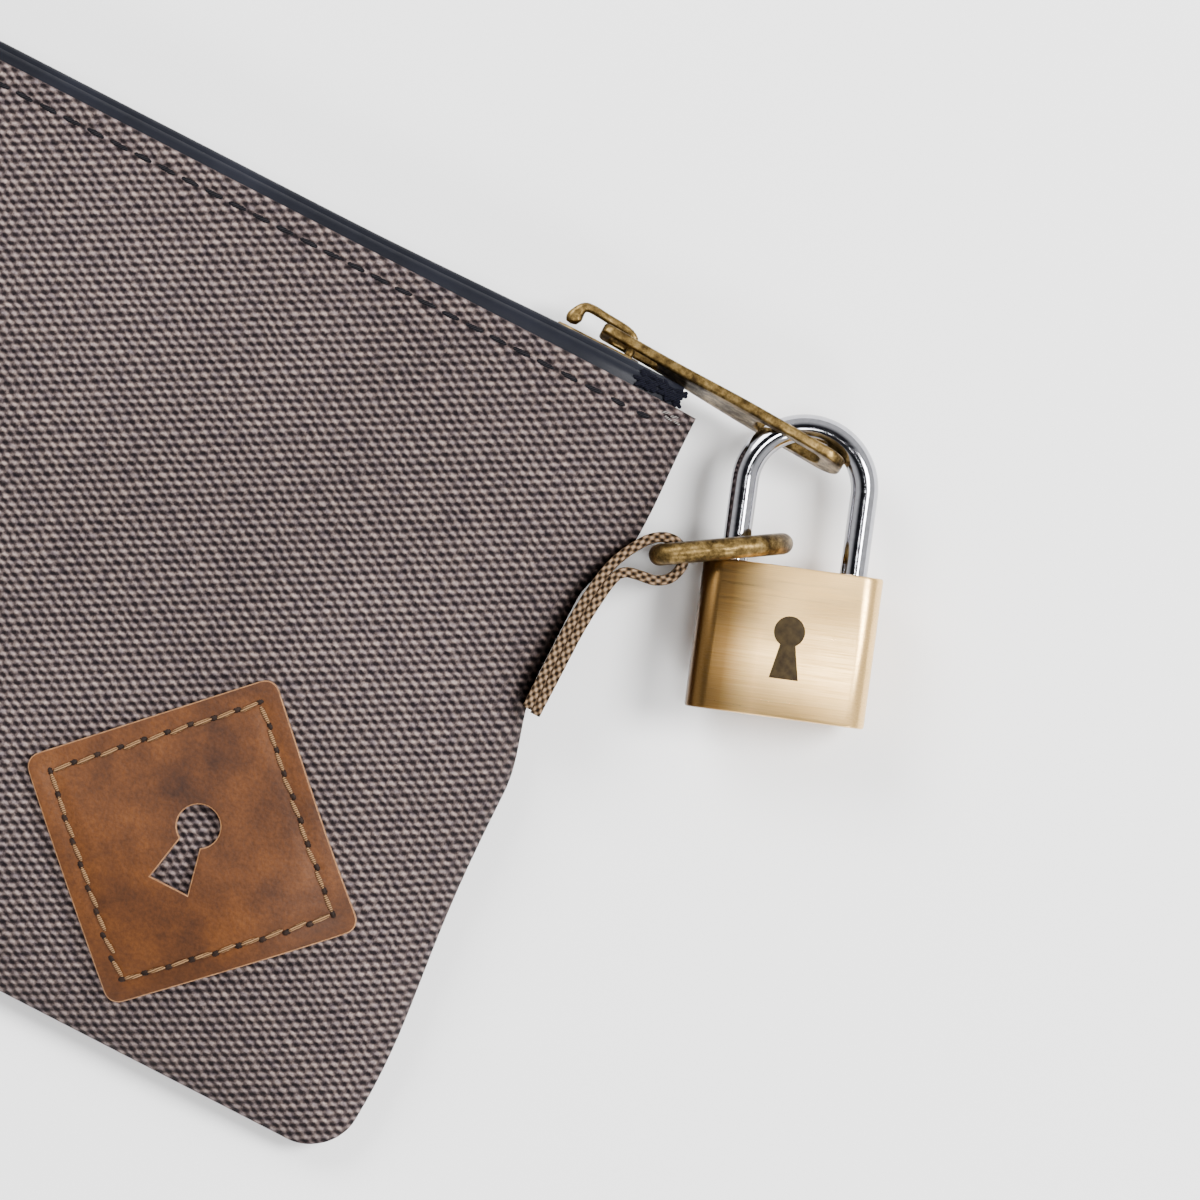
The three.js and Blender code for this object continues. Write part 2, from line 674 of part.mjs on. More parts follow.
function buildPatch() {
  const centre = new THREE.Vector3(HALF_LENGTH - PATCH_FROM_END, PATCH_FROM_BOTTOM - HALF_HEIGHT, 0);
  const half = PATCH_SIDE / 2;
  const sure = (value) => Math.sign(value) * Math.min(Math.abs(value), half);
  const roundedAt = (a, b) => {
    const overA = Math.abs(a) - (half - PATCH_CORNER);
    const overB = Math.abs(b) - (half - PATCH_CORNER);
    if (overA <= 0 || overB <= 0) return [sure(a), sure(b)];
    const scale = Math.max(overA, overB) / Math.hypot(overA, overB);
    const inner = half - PATCH_CORNER;
    return [Math.sign(a) * (inner + overA * scale), Math.sign(b) * (inner + overB * scale)];
  };
  const marks = [-half, -half + PATCH_CORNER * 0.45, -half + PATCH_CORNER];
  const grid = [...marks, ...spread(-half + PATCH_CORNER, half - PATCH_CORNER, 8).slice(1, -1)];
  grid.push(...marks.map((mark) => -mark).reverse());
  const pointAt = (lift) => (column, row) => {
    const [a, b] = roundedAt(column, row);
    const turned = new THREE.Vector3(a, b, 0).applyAxisAngle(new THREE.Vector3(0, 0, 1), degrees(45));
    const x = centre.x + turned.x;
    const y = centre.y + turned.y;
    return new THREE.Vector3(x, y, frontInner(x, y) + CANVAS + SEWN_GAP + lift);
  };
  const leather = sheet(grid, grid, pointAt(0), pointAt(PATCH_THICKNESS));
  addPart("leather_patch", cut(leather, keyhole().translate(centre.x, centre.y, 0)), "leather");
}

// ---- Padlock ----
// Its own frame: origin at the middle of the body, Y towards the shackle, Z its thickness.
const lock = new THREE.Group();
lock.position.set(HALF_LENGTH + LOCK_FROM_END, TOP - LOCK_DROP, MID);
lock.rotation.z = degrees(LOCK_TURN);
bag.add(lock);

const LOCK_TOP = LOCK_HEIGHT / 2;
const LEG = (SHACKLE_CLEAR_WIDTH + SHACKLE_WIRE) / 2;
const BORE_RADIUS = SHACKLE_WIRE / 2 + SLIDING_GAP;
const BOLT_Y = LOCK_TOP - BOLT_DROP;
const HEEL_PIN_Y = LOCK_TOP - HEEL_PIN_DROP;
const HEEL_PIN_X = LEG - SHACKLE_WIRE / 2 - HEEL_PIN_BITE;
const PLUG_TOP = -LOCK_TOP + PLUG_LENGTH;
const RETAINER_Y = -LOCK_TOP + RETAINER_RISE;
const RETAINER_X = -(PLUG_RADIUS + PIN_RADIUS * 0.25);

function rod(radius, low, high, x = 0, z = 0, sides = 20) {
  const geometry = new THREE.CylinderGeometry(radius, radius, high - low, sides);
  return geometry.translate(x, (low + high) / 2, z);
}

function crossRod(radius, low, high, x, y) {
  const geometry = new THREE.CylinderGeometry(radius, radius, high - low, 12).rotateX(Math.PI / 2);
  return geometry.translate(x, y, (low + high) / 2);
}

function shackleGeometry() {
  const crown = LOCK_TOP + SHACKLE_STRAIGHT;
  const path = [
    new THREE.Vector3(-LEG, LOCK_TOP - TOE_DEPTH, 0),
    new THREE.Vector3(-LEG, LOCK_TOP, 0),
    ...arc(new THREE.Vector3(0, crown, 0), LEG, 180, 0, 16),
    new THREE.Vector3(LEG, LOCK_TOP, 0),
    new THREE.Vector3(LEG, LOCK_TOP - HEEL_DEPTH, 0),
  ];
  const wire = sweep(path, new THREE.Vector3(0, 0, 1), roundSection(SHACKLE_WIRE / 2, 14));
  const inside = SHACKLE_WIRE / 2;
  const notchTop = BOLT_Y + BOLT_SIZE / 2 + SLIDING_GAP;
  const notch = box(
    [-LEG + inside - BOLT_ENTRY - SLIDING_GAP, LOCK_TOP - TOE_DEPTH - 1, -inside - 1],
    [-LEG + inside + 1, notchTop, inside + 1],
  );
  const grooveLow = HEEL_PIN_Y - PIN_RADIUS - SLIDING_GAP - SHACKLE_LIFT;
  const groove = box(
    [LEG - inside - 1, grooveLow, -inside - 1],
    [HEEL_PIN_X + PIN_RADIUS + SLIDING_GAP, HEEL_PIN_Y + PIN_RADIUS + SLIDING_GAP, inside + 1],
  );
  return cut(wire, notch, groove);
}

function lockBodyGeometry() {
  const halfWidth = LOCK_WIDTH / 2;
  const halfThickness = LOCK_THICKNESS / 2;
  const corner = LOCK_CORNER;
  const shape = new THREE.Shape();
  shape.moveTo(-halfWidth + corner, -halfThickness);
  shape.lineTo(halfWidth - corner, -halfThickness);
  shape.absarc(halfWidth - corner, -halfThickness + corner, corner, -Math.PI / 2, 0, false);
  shape.lineTo(halfWidth, halfThickness - corner);
  shape.absarc(halfWidth - corner, halfThickness - corner, corner, 0, Math.PI / 2, false);
  shape.lineTo(-halfWidth + corner, halfThickness);
  shape.absarc(-halfWidth + corner, halfThickness - corner, corner, Math.PI / 2, Math.PI, false);
  shape.lineTo(-halfWidth, -halfThickness + corner);
  shape.absarc(-halfWidth + corner, -halfThickness + corner, corner, Math.PI, Math.PI * 1.5, false);
  const block = new THREE.ExtrudeGeometry(shape, {
    depth: LOCK_HEIGHT - 2 * LOCK_BEVEL,
    bevelEnabled: true,
    bevelThickness: LOCK_BEVEL,
    bevelSize: LOCK_BEVEL,
    bevelOffset: -LOCK_BEVEL,
    bevelSegments: 1,
    curveSegments: 6,
  }).translate(0, 0, -LOCK_TOP + LOCK_BEVEL).rotateX(-Math.PI / 2);
  const channel = BOLT_SIZE / 2 + SLIDING_GAP;
  const back = -LOCK_THICKNESS / 2 - 1;
  const pinGap = PIN_RADIUS + SLIDING_GAP;
  const chambers = Array.from({ length: DRIVER_PINS }, (_, i) => pinChamber(i));
  return cut(
    block,
    rod(BORE_RADIUS, LOCK_TOP - TOE_DEPTH - SLIDING_GAP * 2, LOCK_TOP + 1, -LEG),
    rod(BORE_RADIUS, LOCK_TOP - HEEL_DEPTH - SLIDING_GAP * 2, LOCK_TOP + 1, LEG),
    rod(PLUG_RADIUS + SLIDING_GAP, -LOCK_TOP - 1, PLUG_TOP + SLIDING_GAP),
    box([-LEG, BOLT_Y - channel, -channel], [SPRING_END + SLIDING_GAP, BOLT_Y + channel, channel]),
    crossRod(pinGap, back, LOCK_THICKNESS / 4 + SLIDING_GAP, HEEL_PIN_X, HEEL_PIN_Y),
    crossRod(pinGap, back, LOCK_THICKNESS / 4 + SLIDING_GAP, RETAINER_X, RETAINER_Y),
    ...chambers,
  );
}

// Driver pins point at the plug from the heel side, clear of the shackle's bore.
const CHAMBER_START = PLUG_RADIUS + SLIDING_GAP;
const CHAMBER_END = CHAMBER_START + CHAMBER_LENGTH;
const chamberY = (i) => -LOCK_TOP + FIRST_CHAMBER_RISE + i * PIN_PITCH;

function chamberRod(radius, from, to, i, sides = 12) {
  const geometry = new THREE.CylinderGeometry(radius, radius, to - from, sides).rotateZ(Math.PI / 2);
  return geometry.translate((from + to) / 2, chamberY(i), 0);
}

const pinChamber = (i) =>
  chamberRod(PIN_RADIUS + SLIDING_GAP, CHAMBER_START - CHAMBER_OVERCUT, CHAMBER_END, i);

function springGeometry(length, radius, turns) {
  const steps = turns * SPRING_STEPS;
  const path = Array.from({ length: steps + 1 }, (_, i) => {
    const angle = (i / SPRING_STEPS) * 2 * Math.PI;
    const along = (length * i) / steps;
    return new THREE.Vector3(along, radius * Math.cos(angle), radius * Math.sin(angle));
  });
  const curve = new THREE.CatmullRomCurve3(path);
  const section = new THREE.Shape();
  section.absarc(0, 0, SPRING_WIRE / 2, 0, 2 * Math.PI, false);
  return new THREE.ExtrudeGeometry(section, { steps, extrudePath: curve, curveSegments: 3 });
}

const BOLT_START = -LEG + SHACKLE_WIRE / 2 - BOLT_ENTRY;
const SPRING_START = BOLT_START + BOLT_LENGTH + BOLT_TRAVEL + SLIDING_GAP;
const SPRING_END = SPRING_START + BOLT_SPRING_LENGTH;

function keyPlugGeometry() {
  const plug = rod(PLUG_RADIUS, -LOCK_TOP + PLUG_RECESS, PLUG_TOP, 0, 0, 28);
  const groove = cut(
    rod(PLUG_RADIUS + 1, RETAINER_Y - PIN_RADIUS - SLIDING_GAP, RETAINER_Y + PIN_RADIUS + SLIDING_GAP),
    rod(PLUG_RADIUS - PIN_RADIUS - SLIDING_GAP, RETAINER_Y - 2, RETAINER_Y + 2),
  );
  const keyway = box(
    [-KEYWAY_WIDTH / 2, -LOCK_TOP - 1, -KEYWAY_HEIGHT / 2],
    [KEYWAY_WIDTH / 2, -LOCK_TOP + PLUG_LENGTH * KEYWAY_SHARE, KEYWAY_HEIGHT / 2],
  );
  return cut(plug, groove, keyway);
}

function buildPadlock() {
  addPart("shackle", shackleGeometry(), "steel", lock);
  addPart("padlock_body", lockBodyGeometry(), "lockBrass", lock);
  addPart("key_plug", keyPlugGeometry(), "brass", lock);
  const back = -LOCK_THICKNESS / 2 + PIN_RECESS;
  const front = LOCK_THICKNESS / 4;
  addPart("heel_pin", crossRod(PIN_RADIUS, back, front, HEEL_PIN_X, HEEL_PIN_Y), "steel", lock);
  addPart("plug_retaining_pin", crossRod(PIN_RADIUS, back, front, RETAINER_X, RETAINER_Y), "steel", lock);
  const half = BOLT_SIZE / 2;
  const bolt = box([BOLT_START, BOLT_Y - half, -half], [BOLT_START + BOLT_LENGTH, BOLT_Y + half, half]);
  addPart("locking_bolt", bolt, "steel", lock);
  const boltSpring = springGeometry(BOLT_SPRING_LENGTH - SPRING_WIRE, half - SPRING_WIRE, 4);
  addPart("bolt_spring", boltSpring.translate(SPRING_START + SPRING_WIRE / 2, BOLT_Y, 0), "steel", lock);
  for (let i = 0; i < DRIVER_PINS; i += 1) {
    const start = CHAMBER_START + SLIDING_GAP / 2;
    const end = start + DRIVER_PIN_LENGTH;
    addPart(`driver_pin_${i + 1}`, chamberRod(PIN_RADIUS, start, end, i), "brass", lock);
    const springStart = end + SPRING_WIRE;
    const spring = springGeometry(CHAMBER_END - springStart - SPRING_WIRE, PIN_RADIUS - SPRING_WIRE / 2, 3);
    addPart(`pin_spring_${i + 1}`, spring.translate(springStart, chamberY(i), 0), "steel", lock);
  }
}

buildPouch();
buildZip();
buildSlider();
buildBridge();
buildPuller();
buildRing();
buildSideLoop();
buildPatch();
buildPadlock();

export default bag;
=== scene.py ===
"""Cash deposit bag: a lined canvas zip pouch, padlocked to a ring on its side seam."""
import math
import random
from contextlib import contextmanager

import bmesh
import bpy
from mathutils import Matrix, Vector


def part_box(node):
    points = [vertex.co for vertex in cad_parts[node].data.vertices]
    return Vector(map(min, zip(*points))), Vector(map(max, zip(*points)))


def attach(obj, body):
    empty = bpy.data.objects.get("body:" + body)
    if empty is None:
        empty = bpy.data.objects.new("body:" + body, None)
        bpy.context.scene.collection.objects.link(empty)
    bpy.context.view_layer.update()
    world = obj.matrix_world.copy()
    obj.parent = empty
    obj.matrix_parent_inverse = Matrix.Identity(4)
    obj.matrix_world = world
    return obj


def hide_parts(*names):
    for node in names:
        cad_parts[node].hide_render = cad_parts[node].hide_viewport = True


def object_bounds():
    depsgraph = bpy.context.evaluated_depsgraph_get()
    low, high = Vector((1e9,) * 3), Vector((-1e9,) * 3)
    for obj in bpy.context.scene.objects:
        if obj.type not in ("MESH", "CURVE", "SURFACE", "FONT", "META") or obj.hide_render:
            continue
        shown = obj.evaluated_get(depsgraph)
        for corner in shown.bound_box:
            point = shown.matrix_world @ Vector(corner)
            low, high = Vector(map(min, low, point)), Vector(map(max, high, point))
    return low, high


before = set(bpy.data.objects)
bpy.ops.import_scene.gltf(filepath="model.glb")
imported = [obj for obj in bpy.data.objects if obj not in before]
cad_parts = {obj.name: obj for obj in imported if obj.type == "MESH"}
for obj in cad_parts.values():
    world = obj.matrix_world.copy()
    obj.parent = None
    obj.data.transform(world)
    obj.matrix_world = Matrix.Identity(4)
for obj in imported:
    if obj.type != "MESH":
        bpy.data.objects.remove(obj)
CAD_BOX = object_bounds()

MM = 0.001
UP = Vector((0, 0, 1))

PANEL_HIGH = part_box("front_panel")[1]
HALF_LENGTH = PANEL_HIGH.x
HALF_HEIGHT = PANEL_HIGH.y
TOP = HALF_HEIGHT
BODY_LOW, BODY_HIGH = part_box("padlock_body")
MID = (BODY_LOW.z + BODY_HIGH.z) / 2
TOP_DEPTH = 2 * MID
CROWN_DEPTH = PANEL_HIGH.z
CANVAS = 1.2 * MM
CANVAS_PITCH = (1.42 * MM, 0.78 * MM)
WEBBING_PITCH = (0.85 * MM, 0.62 * MM)
LINING_PITCH = (0.5 * MM, 0.5 * MM)
CORNER = 8 * MM
CALM_EDGE = 9 * MM
SEAM_LOW = 4.4 * MM
SEAM_GAP = 0.3 * MM
SIDE_SWELL = 30 * MM
TOP_END_SWELL = 22 * MM
BOTTOM_SWELL = 36 * MM
BACK_SWELL = 12 * MM
HEM_DROP = 3.6 * MM
HEM_PITCH = 4.4 * MM
LOCK_HALF_WIDTH = 15 * MM

# ---- Camera ----
CAMERA_ROLL = 27.2
CAMERA_FROM_END = -0.4 * MM
CAMERA_FROM_TOP = -34.1 * MM
CAMERA_HEIGHT = 1.6
VIEW_WIDTH = 201 * MM
SENSOR = 36


# ---------------------------------------------------------------- materials
class Nodes:
    """A short way to write a node tree."""

    def __init__(self, name):
        self.material = bpy.data.materials.new(name)
        self.material.use_nodes = True
        self.tree = self.material.node_tree
        self.shader = self.tree.nodes["Principled BSDF"]

    def add(self, kind, inputs=None, **settings):
        node = self.tree.nodes.new(kind)
        for key, value in settings.items():
            setattr(node, key, value)
        for key, value in (inputs or {}).items():
            self.set(node.inputs[key], value)
        return node

    def set(self, socket, value):
        if isinstance(value, bpy.types.NodeSocket):
            self.tree.links.new(value, socket)
        else:
            socket.default_value = value

    def math(self, operation, a, b=0.0):
        return self.add("ShaderNodeMath", {0: a, 1: b}, operation=operation).outputs[0]

    def coordinates(self, scale=(1, 1, 1), rotation=(0, 0, 0), space="Object"):
        source = self.add("ShaderNodeTexCoord").outputs[space]
        inputs = {"Vector": source, "Scale": scale, "Rotation": rotation}
        return self.add("ShaderNodeMapping", inputs).outputs[0]

    def noise(self, vector, scale, detail=3.0, roughness=0.5):
        inputs = {"Vector": vector, "Scale": scale, "Detail": detail, "Roughness": roughness}
        return self.add("ShaderNodeTexNoise", inputs).outputs[0]

    def ramp(self, factor, *stops):
        node = self.add("ShaderNodeValToRGB", {"Fac": factor})
        elements = node.color_ramp.elements
        for place, colour in stops[2:]:
            elements.new(place)
        for element, (place, colour) in zip(elements, sorted(stops)):
            element.position = place
            element.color = (*colour, 1) if len(colour) == 3 else colour
        return node.outputs[0]

    def mix(self, factor, a, b, blend="MIX"):
        node = self.add("ShaderNodeMix", data_type="RGBA", blend_type=blend)
        self.set(node.inputs[0], factor)
        self.set(node.inputs[6], a)
        self.set(node.inputs[7], b)
        return node.outputs[2]

    def bump(self, height, distance, strength):
        inputs = {"Height": height, "Distance": distance, "Strength": strength}
        return self.add("ShaderNodeBump", inputs).outputs[0]

    def finish(self, **inputs):
        for key, value in inputs.items():
            self.set(self.shader.inputs[key.replace("_", " ")], value)
        return self.material


def grey(value):
    return (value, value, value)


def rgba(r, g, b):
    return (r, g, b, 1)


def weave_height(nodes, vector, pitch):
    """Bumps from 0 to 1 on the checkerboard of crossings of a plain weave."""
    parts = nodes.add("ShaderNodeSeparateXYZ", {0: vector})
    a = nodes.math("COSINE", nodes.math("MULTIPLY", parts.outputs[0], math.pi / pitch[0]))
    b = nodes.math("COSINE", nodes.math("MULTIPLY", parts.outputs[1], math.pi / pitch[1]))
    crossing = nodes.math("MULTIPLY", a, b)
    return nodes.math("ADD", nodes.math("MULTIPLY", crossing, 0.5), 0.5)


def canvas_material():
    nodes = Nodes("canvas")
    plain = nodes.coordinates()
    drift = nodes.noise(plain, 240.0, 2.0)
    wander = nodes.math("MULTIPLY", nodes.math("SUBTRACT", drift, 0.5), 0.9 * MM)
    offset = nodes.add("ShaderNodeCombineXYZ", {0: wander, 1: wander}).outputs[0]
    shifted = nodes.add("ShaderNodeVectorMath", {0: plain, 1: offset}, operation="ADD").outputs[0]
    raised = weave_height(nodes, shifted, CANVAS_PITCH)
    fuzz = nodes.noise(plain, 2600.0, 3.0, 0.7)
    yarn = nodes.noise(nodes.coordinates((1, 1.8, 1)), 620.0, 2.0, 0.6)
    cloudy = nodes.noise(plain, 24.0, 3.0, 0.55)
    tall = nodes.math("ADD", raised, nodes.math("MULTIPLY", nodes.math("SUBTRACT", fuzz, 0.5), 0.9))
    # The colour follows the weave's height: painted shade in the hollows between the threads and painted
    # highlight on the crossings, over the canvas's own taupe.
    thread = nodes.ramp(tall, (0.12, (0.010, 0.0078, 0.0088)), (0.40, (0.040, 0.0310, 0.0310)),
                        (0.66, (0.105, 0.083, 0.079)), (0.98, (0.255, 0.207, 0.196)))
    tint = nodes.ramp(yarn, (0.32, (0.62, 0.6, 0.66)), (0.72, (1.28, 1.2, 1.12)))
    worn = nodes.ramp(cloudy, (0.3, grey(0.84)), (0.7, grey(1.12)))
    colour = nodes.mix(1.0, nodes.mix(1.0, thread, tint, "MULTIPLY"), worn, "MULTIPLY")
    normal = nodes.bump(nodes.math("ADD", raised, nodes.math("MULTIPLY", fuzz, 0.6)), 0.34 * MM, 0.9)
    return nodes.finish(Base_Color=colour, Normal=normal, Roughness=0.95, Specular_IOR_Level=0.06)


def leather_material():
    nodes = Nodes("leather")
    plain = nodes.coordinates()
    cloudy = nodes.noise(plain, 90.0, 5.0, 0.6)
    grain = nodes.noise(plain, 1500.0, 4.0, 0.65)
    pores = nodes.add("ShaderNodeTexVoronoi", {"Vector": plain, "Scale": 1500.0}).outputs["Distance"]
    base = nodes.ramp(cloudy, (0.25, (0.024, 0.0080, 0.003)), (0.42, (0.055, 0.0175, 0.004)),
                      (0.58, (0.088, 0.0285, 0.0060)), (0.8, (0.118, 0.0420, 0.0110)))
    fleck = nodes.ramp(grain, (0.3, grey(0.72)), (0.65, grey(1.15)))
    colour = nodes.mix(1.0, base, fleck, "MULTIPLY")
    height = nodes.math("ADD", nodes.math("MULTIPLY", pores, 0.6), grain)
    rough = nodes.ramp(cloudy, (0.3, grey(0.62)), (0.7, grey(0.48)))
    return nodes.finish(Base_Color=colour, Normal=nodes.bump(height, 0.12 * MM, 0.5), Roughness=rough,
                        Specular_IOR_Level=0.2)


def cut_edge_material():
    nodes = Nodes("leather_edge")
    fibre = nodes.noise(nodes.coordinates((1, 1, 3)), 900.0, 4.0, 0.7)
    colour = nodes.ramp(fibre, (0.3, (0.14, 0.055, 0.018)), (0.7, (0.34, 0.17, 0.07)))
    return nodes.finish(Base_Color=colour, Normal=nodes.bump(fibre, 0.15 * MM, 0.6), Roughness=0.85)


def thread_material(name, dark, light):
    nodes = Nodes(name)
    slanted = nodes.coordinates(rotation=(0, 0, math.radians(40)))
    wave = {"Vector": slanted, "Scale": 900.0, "Distortion": 1.0, "Detail": 1.0}
    twist = nodes.add("ShaderNodeTexWave", wave).outputs["Fac"]
    fuzz = nodes.noise(nodes.coordinates(), 4000.0, 2.0)
    shade = nodes.math("ADD", nodes.math("MULTIPLY", twist, 0.6), nodes.math("MULTIPLY", fuzz, 0.4))
    colour = nodes.ramp(shade, (0.2, dark), (0.75, light))
    return nodes.finish(Base_Color=colour, Normal=nodes.bump(twist, 0.12 * MM, 0.7), Roughness=0.85,
                        Specular_IOR_Level=0.12)


def webbing_material():
    nodes = Nodes("webbing")
    run = nodes.coordinates(space="UV")
    raised = weave_height(nodes, run, WEBBING_PITCH)
    fuzz = nodes.noise(nodes.coordinates(), 2200.0, 3.0, 0.7)
    tall = nodes.math("ADD", raised, nodes.math("MULTIPLY", nodes.math("SUBTRACT", fuzz, 0.5), 0.8))
    # The colour follows the weave's height: painted shade in the hollows and painted highlight on the
    # crossings, over the webbing's own brown.
    colour = nodes.ramp(tall, (0.12, (0.0065, 0.0036, 0.0018)), (0.45, (0.065, 0.040, 0.0215)),
                        (0.92, (0.27, 0.180, 0.112)))
    normal = nodes.bump(nodes.math("ADD", raised, nodes.math("MULTIPLY", fuzz, 0.4)), 0.3 * MM, 0.9)
    return nodes.finish(Base_Color=colour, Normal=normal, Roughness=0.92, Specular_IOR_Level=0.08)


def antique_brass_material():
    nodes = Nodes("antique_brass")
    plain = nodes.coordinates()
    patina = nodes.noise(plain, 420.0, 6.0, 0.72)
    fine = nodes.noise(plain, 3200.0, 3.0, 0.6)
    colour = nodes.ramp(patina, (0.34, (0.022, 0.013, 0.005)), (0.46, (0.085, 0.054, 0.018)),
                        (0.60, (0.23, 0.152, 0.055)), (0.78, (0.48, 0.34, 0.145)))
    rough = nodes.ramp(patina, (0.3, grey(0.55)), (0.7, grey(0.27)))
    height = nodes.math("ADD", nodes.math("MULTIPLY", patina, 0.5), nodes.math("MULTIPLY", fine, 0.5))
    return nodes.finish(Base_Color=colour, Metallic=1.0, Roughness=rough,
                        Normal=nodes.bump(height, 0.06 * MM, 0.5))


def brushed_brass_material():
    nodes = Nodes("brushed_brass")
    brushed = nodes.noise(nodes.coordinates((18, 900, 900)), 4.0, 4.0, 0.7)
    cloudy = nodes.noise(nodes.coordinates(), 120.0, 3.0)
    tone = nodes.ramp(brushed, (0.25, (0.66, 0.39, 0.12)), (0.75, (0.92, 0.63, 0.28)))
    # Painted shade and highlight across the lock face: dark towards the left edge, a bright band about a
    # third of the way across, a dimmer stretch, then bright again at the right edge.
    across = nodes.add("ShaderNodeSeparateXYZ", {0: nodes.coordinates()}).outputs[0]
    share = nodes.math("ADD", nodes.math("DIVIDE", across, 2 * LOCK_HALF_WIDTH), 0.5)
    drift = nodes.ramp(share, (0.0, (0.12, 0.095, 0.07)), (0.18, (0.34, 0.30, 0.25)), (0.36, grey(1.1)),
                       (0.62, (0.88, 0.86, 0.82)), (1.0, grey(1.1)))
    cloud = nodes.ramp(cloudy, (0.3, grey(0.92)), (0.7, grey(1.04)))
    colour = nodes.mix(1.0, nodes.mix(1.0, tone, cloud, "MULTIPLY"), drift, "MULTIPLY")
    rough = nodes.ramp(brushed, (0.3, grey(0.38)), (0.7, grey(0.27)))
    return nodes.finish(Base_Color=colour, Metallic=1.0, Roughness=rough, Anisotropic=0.5,
                        Normal=nodes.bump(brushed, 0.02 * MM, 0.35))


def steel_material(name, tone, rough_low, rough_high):
    nodes = Nodes(name)
    scuffs = nodes.noise(nodes.coordinates(), 900.0, 5.0, 0.7)
    marks = nodes.noise(nodes.coordinates((1, 14, 1)), 260.0, 3.0, 0.6)
    colour = nodes.ramp(scuffs, (0.3, tuple(0.8 * c for c in tone)), (0.7, tone))
    rough = nodes.ramp(marks, (0.35, grey(rough_low)), (0.7, grey(rough_high)))
    return nodes.finish(Base_Color=colour, Metallic=1.0, Roughness=rough,
                        Normal=nodes.bump(scuffs, 0.02 * MM, 0.25))


def tape_material():
    nodes = Nodes("zip_tape")
    plain = nodes.coordinates()
    ribs = nodes.noise(nodes.coordinates((1, 8, 8)), 500.0, 3.0)
    crease = nodes.noise(plain, 60.0, 3.0)
    colour = nodes.ramp(crease, (0.3, (0.003, 0.0035, 0.006)), (0.75, (0.010, 0.011, 0.017)))
    height = nodes.math("ADD", nodes.math("MULTIPLY", ribs, 0.3), crease)
    return nodes.finish(Base_Color=colour, Roughness=0.42, Specular_IOR_Level=0.12,
                        Normal=nodes.bump(height, 0.2 * MM, 0.5))


def plastic_material(name, dark, light):
    nodes = Nodes(name)
    mottled = nodes.noise(nodes.coordinates(), 700.0, 3.0)
    colour = nodes.ramp(mottled, (0.3, dark), (0.7, light))
    return nodes.finish(Base_Color=colour, Roughness=0.6, Specular_IOR_Level=0.12,
                        Normal=nodes.bump(mottled, 0.03 * MM, 0.4))


def lining_material():
    nodes = Nodes("lining")
    height = weave_height(nodes, nodes.coordinates(), LINING_PITCH)
    # The colour follows the weave's height: painted shade in the hollows and painted highlight on the
    # crossings.
    colour = nodes.ramp(height, (0.1, (0.006, 0.006, 0.008)), (0.9, (0.03, 0.03, 0.036)))
    return nodes.finish(Base_Color=colour, Roughness=0.8, Normal=nodes.bump(height, 0.1 * MM, 0.6))


CANVAS_LOOK = canvas_material()
LEATHER = leather_material()
LEATHER_EDGE = cut_edge_material()
CREAM_THREAD = thread_material("cream_thread", (0.05, 0.024, 0.010), (0.27, 0.155, 0.075))
TAUPE_THREAD = thread_material("taupe_thread", (0.001, 0.001, 0.0015), (0.012, 0.011, 0.014))
PALE_THREAD = thread_material("pale_thread", (0.03, 0.026, 0.024), (0.22, 0.2, 0.19))
NAVY_THREAD = thread_material("navy_thread", (0.0007, 0.0008, 0.0018), (0.0035, 0.0038, 0.0105))
WEBBING_LOOK = webbing_material()
ANTIQUE = antique_brass_material()
BRUSHED = brushed_brass_material()
POLISHED = steel_material("polished_steel", (0.42, 0.42, 0.45), 0.05, 0.16)
PLAIN_STEEL = steel_material("plain_steel", (0.5, 0.5, 0.5), 0.25, 0.4)
TAPE_LOOK = tape_material()
COIL = plastic_material("zip_coil", (0.006, 0.006, 0.008), (0.02, 0.02, 0.024))
ETCHED = plastic_material("etched_mark", (0.016, 0.0095, 0.003), (0.040, 0.026, 0.009))
LINING_LOOK = lining_material()
# Dark grains sunk at the stitch ends: painted shade in the needle holes.
NEEDLE_HOLE_SHADE = plastic_material("needle_hole_shade", (0.006, 0.003, 0.002), (0.02, 0.01, 0.006))


# ---------------------------------------------------------------- mesh helpers
@contextmanager
def edited(mesh):
    """Opens a mesh for editing and writes it back."""
    work = bmesh.new()
    work.from_mesh(mesh)
    yield work
    work.to_mesh(mesh)
    work.free()


def linked(name, data):
    obj = bpy.data.objects.new(name, data)
    bpy.context.scene.collection.objects.link(obj)
    return obj


def finished_mesh(name, mesh, material):
    mesh.materials.clear()
    mesh.materials.append(material)
    mesh.polygons.foreach_set("use_smooth", [True] * len(mesh.polygons))
    return linked(name, mesh)


def mesh_object(name, points, faces, material):
    mesh = bpy.data.meshes.new(name)
    mesh.from_pydata([tuple(p) for p in points], [], faces)
    with edited(mesh) as work:
        bmesh.ops.recalc_face_normals(work, faces=work.faces)
    return finished_mesh(name, mesh, material)


def place(obj, body, slot, *nodes):
    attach(obj, body)
    if nodes:
        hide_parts(*nodes)
    return obj


def sharp_by_angle(obj, degrees):
    with edited(obj.data) as work:
        for edge in work.edges:
            if len(edge.link_faces) == 2:
                edge.smooth = edge.calc_face_angle(0) < math.radians(degrees)
    return obj


def apply_modifiers(obj):
    graph = bpy.context.evaluated_depsgraph_get()
    mesh = bpy.data.meshes.new_from_object(obj.evaluated_get(graph))
    obj.modifiers.clear()
    obj.data = mesh
    return obj


